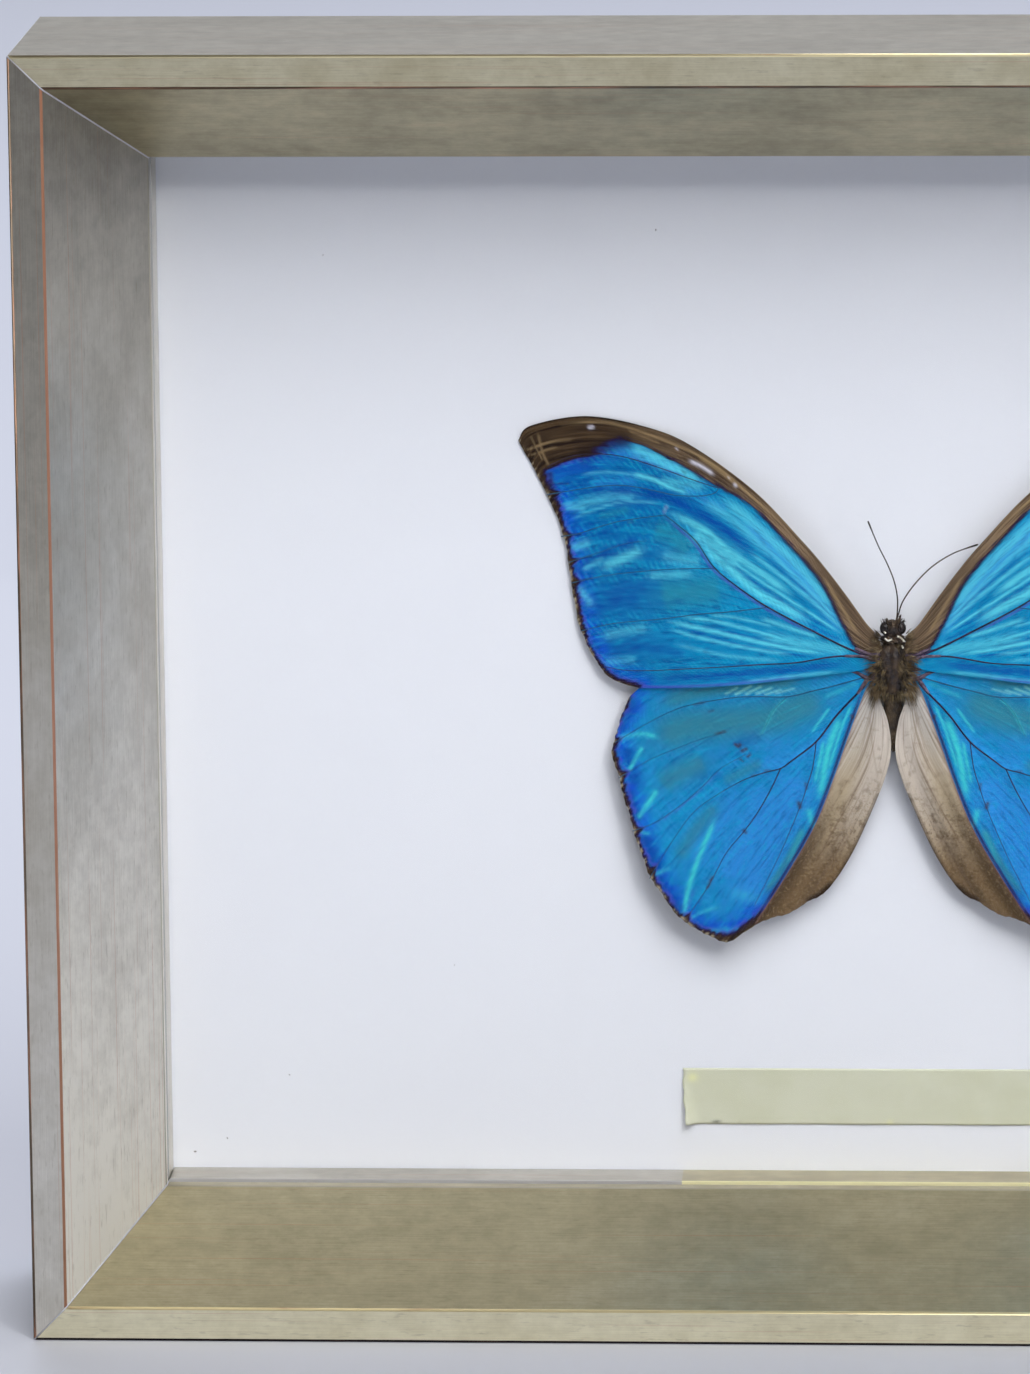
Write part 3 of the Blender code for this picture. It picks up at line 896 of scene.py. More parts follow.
# Each speck: millimetres across and up, and its size.
SPECKS = [(-124.8, 24.1, 0.42), (-119.0, 26.6, 0.30), (-41.3, 190.4, 0.30), (-99.6, 186.0, 0.22),
          (-107.7, 38.3, 0.26), (-60.2, 152.6, 0.18), (88.4, 171.2, 0.28), (104.6, 61.9, 0.24),
          (-78.0, 58.5, 0.20), (61.5, 33.1, 0.26), (32.7, 184.6, 0.22), (121.4, 108.0, 0.20)]


def speck_finish():
    finish = Finish("grey_dust")
    grain = finish.noise(finish.place(), 3000.0)
    tone = finish.blend(grain, (0.16, 0.15, 0.15), (0.34, 0.33, 0.34))
    return finish.show(Base_Color=tone, Roughness=0.9)


specks = bmesh.new()
for number, (across, up, size) in enumerate(SPECKS):
    lie = Matrix.Translation((across * MM, BOARD_FACE - SPECK_LIFT, up * MM))
    lie = lie @ Matrix.Rotation(number, 4, "Y") @ Matrix.Diagonal(SPECK_STRETCH)
    bmesh.ops.create_icosphere(specks, subdivisions=1, radius=size * MM / 2, matrix=lie)
new_piece("board_specks", specks, [speck_finish()])
print("specks:", len(SPECKS))

# %% [markdown]
# ## Label
#
# The label is a strip of thin cream paper, glued down by hand. It lies almost flat, but one
# lower corner has lifted and curls forwards, and the rest has the slight waves of damp glue.
# A grid is the right start, because a curl is a bend of many small faces. The strip stays
# bare: its face only has faint mottling, a mark of old glue with a yellowish highlight
# painted on it, and two small smudges.

# %% Label strip
def label_finish():
    finish = Finish("cream_label", Coat_Weight=0.35, Coat_Roughness=0.22)
    place = finish.place()
    mottle = finish.noise(place, 130.0, 4.0, 0.6)
    fibre = finish.noise(finish.stretched(place, (400, 1, 1800)), 1.0, 3.0, 0.7)
    tone = finish.lay((0.600, 0.605, 0.445), [
        (finish.between(mottle, 0.3, 0.7), (0.640, 0.645, 0.500)),
        (finish.between(fibre, 0.55, 0.8, 0.0, 0.35), (0.48, 0.49, 0.36)),
        # Old glue, with its shine painted in as a yellowish highlight.
        (finish.layer("glue_shine"), (0.78, 0.78, 0.40)),
        (finish.layer("smudge"), (0.10, 0.10, 0.07)),
    ])
    return finish.show(Base_Color=tone, Roughness=finish.between(mottle, 0.2, 0.8, 0.42, 0.55),
                       Normal=finish.relief(fibre, 0.01 * MM, 0.5))


def fall_off(points, place, size):
    """Return one at a place, falling to nothing over a size, for (across, up) points."""
    gap = (points - np.array(place)) / np.array(size)
    return np.exp(-(gap ** 2).sum(axis=1))


# All in millimetres, about the label's middle: how far it stands off, and where it lifts.
LABEL_COLUMNS, LABEL_ROWS, PAPER = 150, 24, 0.07 * MM
CURL_PLACE, CURL_SIZE, CURL_LIFT, CURL_PULL = (-37.5, -5.1), (1.6, 3.6), 1.3, 0.5
EDGE_PLACE, EDGE_SIZE, EDGE_LIFT = (-37.5, 0.0), (0.7, 5.0), 0.25
GLUED_LIFT, WAVE_LIFT = 0.15, 0.04
RAGGED_FROM, RAGGED_DEPTH = -37.0, 0.10
half_wide, half_tall = (LABEL_HIGH.x - LABEL_LOW.x) / 2, (LABEL_HIGH.z - LABEL_LOW.z) / 2
label = bmesh.new()
bmesh.ops.create_grid(label, x_segments=LABEL_COLUMNS, y_segments=LABEL_ROWS, size=1.0)
flat = np.array([vert.co[:2] for vert in label.verts]) * (half_wide / MM, half_tall / MM)
curl = fall_off(flat, CURL_PLACE, CURL_SIZE)
raised_edge = fall_off(flat, EDGE_PLACE, EDGE_SIZE)
waves = WAVE_LIFT * np.sin(flat[:, 0] * 0.31) * np.sin(flat[:, 1] * 0.5 + 1.0)
lift = GLUED_LIFT + CURL_LIFT * curl + EDGE_LIFT * raised_edge + waves
middle = (LABEL_LOW + LABEL_HIGH) / 2
for vert, (across, up), rise, bent in zip(label.verts, flat, lift, curl):
    ragged = RAGGED_DEPTH * sin(up * 1.9) * (across < RAGGED_FROM)
    vert.co = (middle.x + (across + ragged + CURL_PULL * bent) * MM, BOARD_FACE - rise * MM,
               middle.z + up * MM)
bmesh.ops.recalc_face_normals(label, faces=label.faces)
label.normal_update()
bmesh.ops.solidify(label, geom=label.faces[:], thickness=PAPER)
bmesh.ops.recalc_face_normals(label, faces=label.faces)
strip = new_piece("paper_label", label, [label_finish()], ["label_strip"])
print("label:", len(strip.data.vertices), "points")


# %% Paint the label's glue, with its painted highlight, and smudge
def paint(piece, name, values):
    """Store one number for every point of a piece, for its finish to read."""
    layer = piece.data.attributes.new(name, "FLOAT", "POINT")
    layer.data.foreach_set("value", np.asarray(values, np.float32))


spots = np.empty(len(strip.data.vertices) * 3)
strip.data.vertices.foreach_get("co", spots)
spots = spots.reshape(-1, 3)[:, (0, 2)] / MM - np.array((middle.x, middle.z)) / MM
paint(strip, "smudge", 0.9 * fall_off(spots, (-31.6, -4.75), (0.75, 0.32))
      + 0.5 * fall_off(spots, (-27.4, -4.9), (0.3, 0.2)))
paint(strip, "glue_shine", 0.8 * fall_off(spots, (-35.8, 3.4), (0.9, 0.8))
      + 0.5 * fall_off(spots, (-0.8, -4.6), (0.5, 0.5)))
strip.data.shade_smooth()
print("label painted")

# %% [markdown]
# ## The back
#
# Behind the specimen the box is closed with hardboard, held by eight steel tabs and hung by
# a sawtooth hanger. These pieces already have the right shape, and only their edges are
# too sharp, so copies of them get rounded edges. Hardboard is pressed brown fibre, and the
# fittings are plated steel with rolling marks and a little tarnish.

# %% Hardboard and steel
def hardboard_finish():
    finish = Finish("hardboard", Specular_IOR_Level=0.35)
    place = finish.place()
    fibre = finish.noise(finish.stretched(place, (700, 700, 1500)), 1.0, 4.0, 0.75, 0.5)
    clouds = finish.noise(place, 45.0, 4.0)
    mesh_mark = finish.cells(place, 900.0)
    tone = finish.lay((0.155, 0.075, 0.032), [
        (finish.between(fibre, 0.3, 0.75), (0.29, 0.155, 0.075)),
        (finish.between(clouds, 0.3, 0.8, 0.0, 0.5), (0.12, 0.058, 0.026)),
    ])
    relief = finish.relief(fibre, 0.08 * MM, 0.7)
    relief = finish.relief(mesh_mark, 0.08 * MM, 0.35, relief)
    return finish.show(Base_Color=tone, Normal=relief,
                       Roughness=finish.between(fibre, 0.2, 0.8, 0.5, 0.75))


def steel_finish():
    finish = Finish("plated_steel", Metallic=1.0)
    place = finish.place()
    rolled = finish.noise(finish.stretched(place, (300, 300, 6000)), 1.0, 3.0, 0.6)
    tarnish = finish.noise(place, 420.0, 4.0, 0.65)
    tone = finish.blend(finish.between(tarnish, 0.5, 0.75), (0.66, 0.65, 0.62), (0.40, 0.36, 0.30))
    return finish.show(Base_Color=tone, Roughness=finish.between(tarnish, 0.2, 0.8, 0.22, 0.45),
                       Normal=finish.relief(rolled, 0.01 * MM, 0.4))


BOARD_EASE, TAB_EASE, RIVET_EASE = 0.25 * MM, 0.12 * MM, 0.15 * MM
steel = steel_finish()
fittings = {f"retaining_point_{number}": TAB_EASE for number in range(1, 9)}
fittings["sawtooth_hanger"] = TAB_EASE
fittings["hanger_rivet_left"] = fittings["hanger_rivet_right"] = RIVET_EASE
softened_copy("back_panel", BOARD_EASE, hardboard_finish())
for node, width in fittings.items():
    softened_copy(node, width, steel)
print("back pieces finished:", len(fittings) + 1)

# %% [markdown]
# ## The butterfly's outlines
#
# A blue morpho has been relaxed, spread and dried, so its wings lie almost flat. Everything
# about them is drawn for the left side in millimetres about the middle of the thorax, and
# mirrored for the right. A few knots give each edge, and a Catmull-Rom curve runs through
# them, because it passes through every knot and never needs handles.

# %% Smooth curves through knots
def curve_through(knots, steps):
    """Return a Catmull-Rom curve through knots, with some steps between each pair."""
    padded = [knots[0], *knots, knots[-1]]
    points = []
    for before, start, end, after in zip(padded, padded[1:], padded[2:], padded[3:]):
        for t in (step / steps for step in range(steps)):
            weights = ((2 - t) * t * t - t, (3 * t - 5) * t * t + 2,
                       ((4 - 3 * t) * t + 1) * t, (t - 1) * t * t)
            points.append(sum(w * np.array(p, float)
                              for w, p in zip(weights, (before, start, end, after))) / 2)
    points.append(np.array(knots[-1], float))
    return np.array(points)


def walk(points):
    """Return the length walked along a curve at each of its points."""
    gaps = np.linalg.norm(np.diff(points, axis=0), axis=1)
    return np.concatenate([[0.0], np.cumsum(gaps)])


def evenly(points, count):
    """Return points spaced evenly by length along a curve."""
    walked = walk(points)
    stops = np.linspace(0, walked[-1], count)
    return np.stack([np.interp(stops, walked, points[:, axis]) for axis in (0, 1)], axis=1)


COSTA = [(-1.8, 1.8), (-3.0, 4.5), (-4.7, 6.5), (-7.7, 10.8), (-11.3, 15.7), (-15.5, 20.8),
         (-23.9, 29.6), (-34.3, 37.0), (-42.0, 40.4), (-53.5, 42.6), (-63.4, 40.9), (-65.8, 38.4)]
FOREWING_MARGIN = [(-44.3, -5.6), (-50.2, -3.5), (-54.7, 4.0), (-56.4, 11.9), (-57.9, 21.5),
                   (-61.5, 30.2), (-65.8, 38.4)]
FOREWING_TRAIL = [(-2.6, -0.4), (-5.8, -2.0), (-16.0, -3.4), (-30.2, -4.9), (-44.3, -5.6)]
HINDWING_HIDDEN = [(-2.6, -1.4), (-16.0, 1.0), (-30.0, 0.4), (-40.0, -2.6), (-46.4, -7.0)]
HINDWING_MARGIN = [(-11.2, -41.2), (-12.6, -42.6), (-14.6, -43.7), (-18.0, -45.6), (-21.4, -46.6),
                   (-24.0, -47.6), (-26.7, -49.3), (-29.3, -51.0), (-32.6, -49.6), (-37.3, -46.8),
                   (-42.7, -39.2), (-45.8, -30.6), (-48.2, -21.9), (-49.4, -16.1), (-46.4, -7.0)]
HINDWING_INNER = [(-2.6, -5.4), (-2.2, -7.6), (-0.9, -11.5), (-0.4, -16.7), (-1.6, -21.8),
                  (-4.1, -28.2), (-6.8, -34.2), (-9.3, -38.6), (-11.2, -41.2)]
FOLD_LINE = [(-4.6, -5.0), (-5.4, -6.6), (-8.3, -14.7), (-10.8, -21.9), (-14.0, -29.8), (-18.9, -38.5),
             (-24.6, -47.5)]
costa_length = float(walk(curve_through(COSTA, 10))[-1])
print("costa is", round(costa_length), "mm long")

# %% [markdown]
# ## Veins
#
# A wing is two skins stretched over stiff tubes, which all start at the root. The thick
# ones are bare and almost black, and the thin ones are dusted with blue. They decide the
# relief of the wing and the lobes of its border, so they come before its surface. Each one
# has its knots, its radius at both ends in millimetres, and whether it is bare.

# %% Where the veins run
FOREWING_VEINS = [
    ([(-4.4, 0.6), (-8.2, 2.1), (-14.2, 5.2), (-21.9, 9.4), (-26.6, 12.6), (-31.3, 16.4), (-34.7, 21.2),
      (-39.8, 25.3)], 0.24, 0.06, True),
    ([(-4.6, 0.3), (-8.2, 0.6), (-11.2, 0.4), (-17.3, -0.6), (-23.3, -0.9), (-34.0, -1.6),
      (-46.0, -2.4), (-51.4, -1.6)], 0.20, 0.05, True),
    ([(-6.9, 2.6), (-9.1, 7.0), (-12.1, 13.2), (-16.1, 18.4), (-20.3, 23.0), (-24.9, 27.6), (-30.4, 30.5),
      (-35.1, 33.2), (-41.9, 37.1), (-46.9, 39.0)], 0.13, 0.06, True),
    ([(-30.5, 30.3), (-36.0, 32.0), (-40.7, 33.6), (-46.9, 35.4), (-51.3, 35.9), (-56.3, 35.5),
      (-60.6, 33.6)], 0.08, 0.08, True),
    ([(-30.4, 30.4), (-31.3, 29.4), (-33.8, 28.9), (-37.9, 28.9), (-40.7, 29.4), (-45.1, 30.2),
      (-48.8, 30.4), (-53.2, 29.9), (-60.9, 28.6)], 0.09, 0.09, False),
    ([(-39.8, 25.4), (-46.9, 24.3), (-51.3, 23.1), (-55.1, 21.8), (-58.3, 21.2)], 0.08, 0.10, False),
    ([(-43.2, 20.8), (-46.9, 20.2), (-51.3, 18.6), (-57.0, 16.6)], 0.05, 0.08, False),
    ([(-31.3, 16.2), (-36.0, 16.1), (-42.3, 15.6), (-50.1, 14.5), (-56.6, 12.9)], 0.09, 0.08, False),
    ([(-21.9, 9.4), (-28.2, 8.6), (-34.4, 8.0), (-40.7, 7.0), (-48.8, 6.0), (-55.0, 4.4)], 0.11, 0.08, False),
]
HINDWING_VEINS = [
    ([(-4.6, -4.2), (-5.4, -5.3), (-9.8, -10.0), (-13.5, -14.8), (-17.8, -18.2), (-19.8, -19.6),
      (-22.8, -20.4), (-26.5, -21.8), (-29.9, -23.7)], 0.24, 0.06, True),
    ([(-13.5, -14.8), (-14.1, -19.2), (-15.1, -22.6), (-16.5, -26.7), (-20.0, -35.0), (-24.4, -44.0)],
     0.11, 0.04, True),
    ([(-19.8, -19.6), (-21.5, -23.3), (-23.8, -27.4), (-26.2, -30.8), (-29.5, -34.9), (-32.6, -40.7),
      (-36.9, -47.2)], 0.12, 0.05, True),
    ([(-4.6, -3.2), (-9.4, -4.6), (-14.5, -5.9), (-18.5, -6.8), (-23.8, -6.8), (-27.9, -7.0), (-33.6, -8.0),
      (-37.9, -9.2), (-43.0, -11.7), (-49.0, -15.3)], 0.14, 0.07, False),
    ([(-29.0, -13.2), (-33.6, -14.5), (-37.9, -16.2), (-43.0, -18.4), (-48.4, -21.6)], 0.05, 0.07, False),
    ([(-26.0, -17.2), (-30.5, -19.9), (-33.9, -23.3), (-37.9, -26.7), (-41.9, -29.4), (-46.0, -31.0)],
     0.05, 0.08, False),
    ([(-29.9, -23.7), (-35.2, -27.6), (-39.9, -34.2), (-43.0, -39.4)], 0.07, 0.07, False),
    ([(-18.5, -6.8), (-20.8, -9.0), (-22.2, -11.7), (-23.2, -13.8)], 0.07, 0.04, False),
]
print("veins on one side:", len(FOREWING_VEINS) + len(HINDWING_VEINS))


# %% Distances from points to routes
def reach(points, route):
    """Return each point's distance to a route, and how far along it the nearest spot is."""
    knots = curve_through(route, 5)
    runs = np.diff(knots, axis=0)
    lengths = np.linalg.norm(runs, axis=1) + 1e-9
    walked = np.concatenate([[0.0], np.cumsum(lengths)])
    nearest = np.full(len(points), np.inf)
    along = np.zeros(len(points))
    for start, run, length, before in zip(knots, runs, lengths, walked):
        share = np.clip((points - start) @ run / length ** 2, 0, 1)
        gap = np.linalg.norm(points - start - share[:, None] * run, axis=1)
        closer = gap < nearest
        nearest[closer] = gap[closer]
        along[closer] = (before + share * length)[closer] / walked[-1]
    return nearest, along


def inside(points, loop):
    """Return true for the points inside a closed loop."""
    result = np.zeros(len(points), bool)
    for (x0, z0), (x1, z1) in zip(loop, np.roll(loop, -1, axis=0)):
        crosses = (z0 > points[:, 1]) != (z1 > points[:, 1])
        edge = x0 + (points[:, 1] - z0) / (z1 - z0 + 1e-12) * (x1 - x0)
        result ^= crosses & (points[:, 0] < edge)
    return result


def ease(values, start, end):
    """Run smoothly from nought to one while values go from start to end."""
    share = np.clip((values - start) / (end - start), 0, 1)
    return share * share * (3 - 2 * share)


def nearest_vein(points, veins):
    """Return each point's distance to the nearest vein."""
    return np.min([reach(points, route)[0] for route, *_ in veins], axis=0)


to_vein = float(nearest_vein(np.zeros((1, 2)), FOREWING_VEINS)[0])
print("distance from the thorax to the first vein:", round(to_vein, 1), "mm")

# %% [markdown]
# ## Relief
#
# Dried wings are never quite flat. The veins stand up as low ridges, the skin between them
# sags, and broad pleats fan out from the root. The inner part of the hindwing is different:
# it turns down along a crease and lies beside the abdomen like the side of a tent. Height
# above the board is written as a function of the place alone, so the veins can use it too.
# The forewing droops towards its tip, and the hindwing rises towards its lower end.

# %% Height above the board in millimetres
ROOT = np.array((-4.0, 0.5))
RIDGE, RIDGE_WIDTH = 0.15, 0.75
FORE_LIFT, FORE_SWELL, FORE_DROOP = 4.40, 0.42, 4.3
HIND_LIFT, HIND_SWELL, HIND_RISE, HIND_DROOP = 3.68, 0.12, 2.5, 1.3
FOLD_DROP, FLAP_DROP, FLAP_WAVE = 0.30, 1.7, 0.16


def from_root(points):
    """Return each point's distance from the wing's root."""
    return np.linalg.norm(points - ROOT, axis=1)


def pleats(points, count, depth):
    """Return broad folds that fan out from the root."""
    arm = points - ROOT
    turn = np.arctan2(arm[:, 1], -arm[:, 0])
    out = from_root(points)
    return depth * np.sin(turn * count + 0.03 * out) * ease(out, 4, 26)


def ridges(points, veins):
    """Return the low ridges that veins raise."""
    return RIDGE * np.exp(-(nearest_vein(points, veins) / RIDGE_WIDTH) ** 2)


def forewing_height(points):
    out = from_root(points)
    ridge = ridges(points, FOREWING_VEINS)
    droop = FORE_DROOP * ease(out, 24, 62)
    return FORE_LIFT + FORE_SWELL * ease(out, 3, 26) - droop + ridge + pleats(points, 17.0, 0.10)


def fold_depth(points):
    """Return how far past the crease a point lies, towards the abdomen."""
    far_side = [(0.5, -47.5), (0.5, -5.0)]
    turned_down = inside(points, np.concatenate([curve_through(FOLD_LINE, 10), far_side]))
    return np.where(turned_down, reach(points, FOLD_LINE)[0], 0.0)


def hindwing_height(points):
    out, down = from_root(points), -points[:, 1]
    ridge = ridges(points, HINDWING_VEINS)
    past = fold_depth(points)
    flap = (FOLD_DROP * (1 - np.exp(-past / 0.8))
            + FLAP_DROP * ease(past, 0.3, 8) * ease(down, 17, 30))
    flap -= FLAP_WAVE * np.sin(past * 1.7) * ease(past, 0.2, 1.2)
    tilt = HIND_RISE * ease(down, 8, 42) - HIND_DROOP * ease(out, 20, 46)
    return HIND_LIFT + HIND_SWELL * ease(out, 3, 20) + tilt + ridge - flap + pleats(points, 15.0, 0.09)


tip_height = float(forewing_height(np.array([(-60.0, 36.0)]))[0])
print("forewing tip stands", round(tip_height, 2), "mm off the board")

# %% [markdown]
# ## The blue
#
# The colour of a morpho is not dye. Each scale is a stack of thin ridges that sends back
# only blue, and it turns paler and greener where the wing tips towards the light. On a
# pinned wing under a lamp those changes show as streaks: bright rays in the cell, a deep band
# above it, pale lines beside the veins. The bright rays and the pale lines beside the veins
# are painted highlights, painted here with the other layers as soft strokes, each a route with
# a half width and a strength, and each layer of strokes becomes one number on the points.
# Besides the blues there are layers for the brown parts: dusk darkens them, and gold and
# pale are their light scales. A fleck is a spot where the scales have gone.

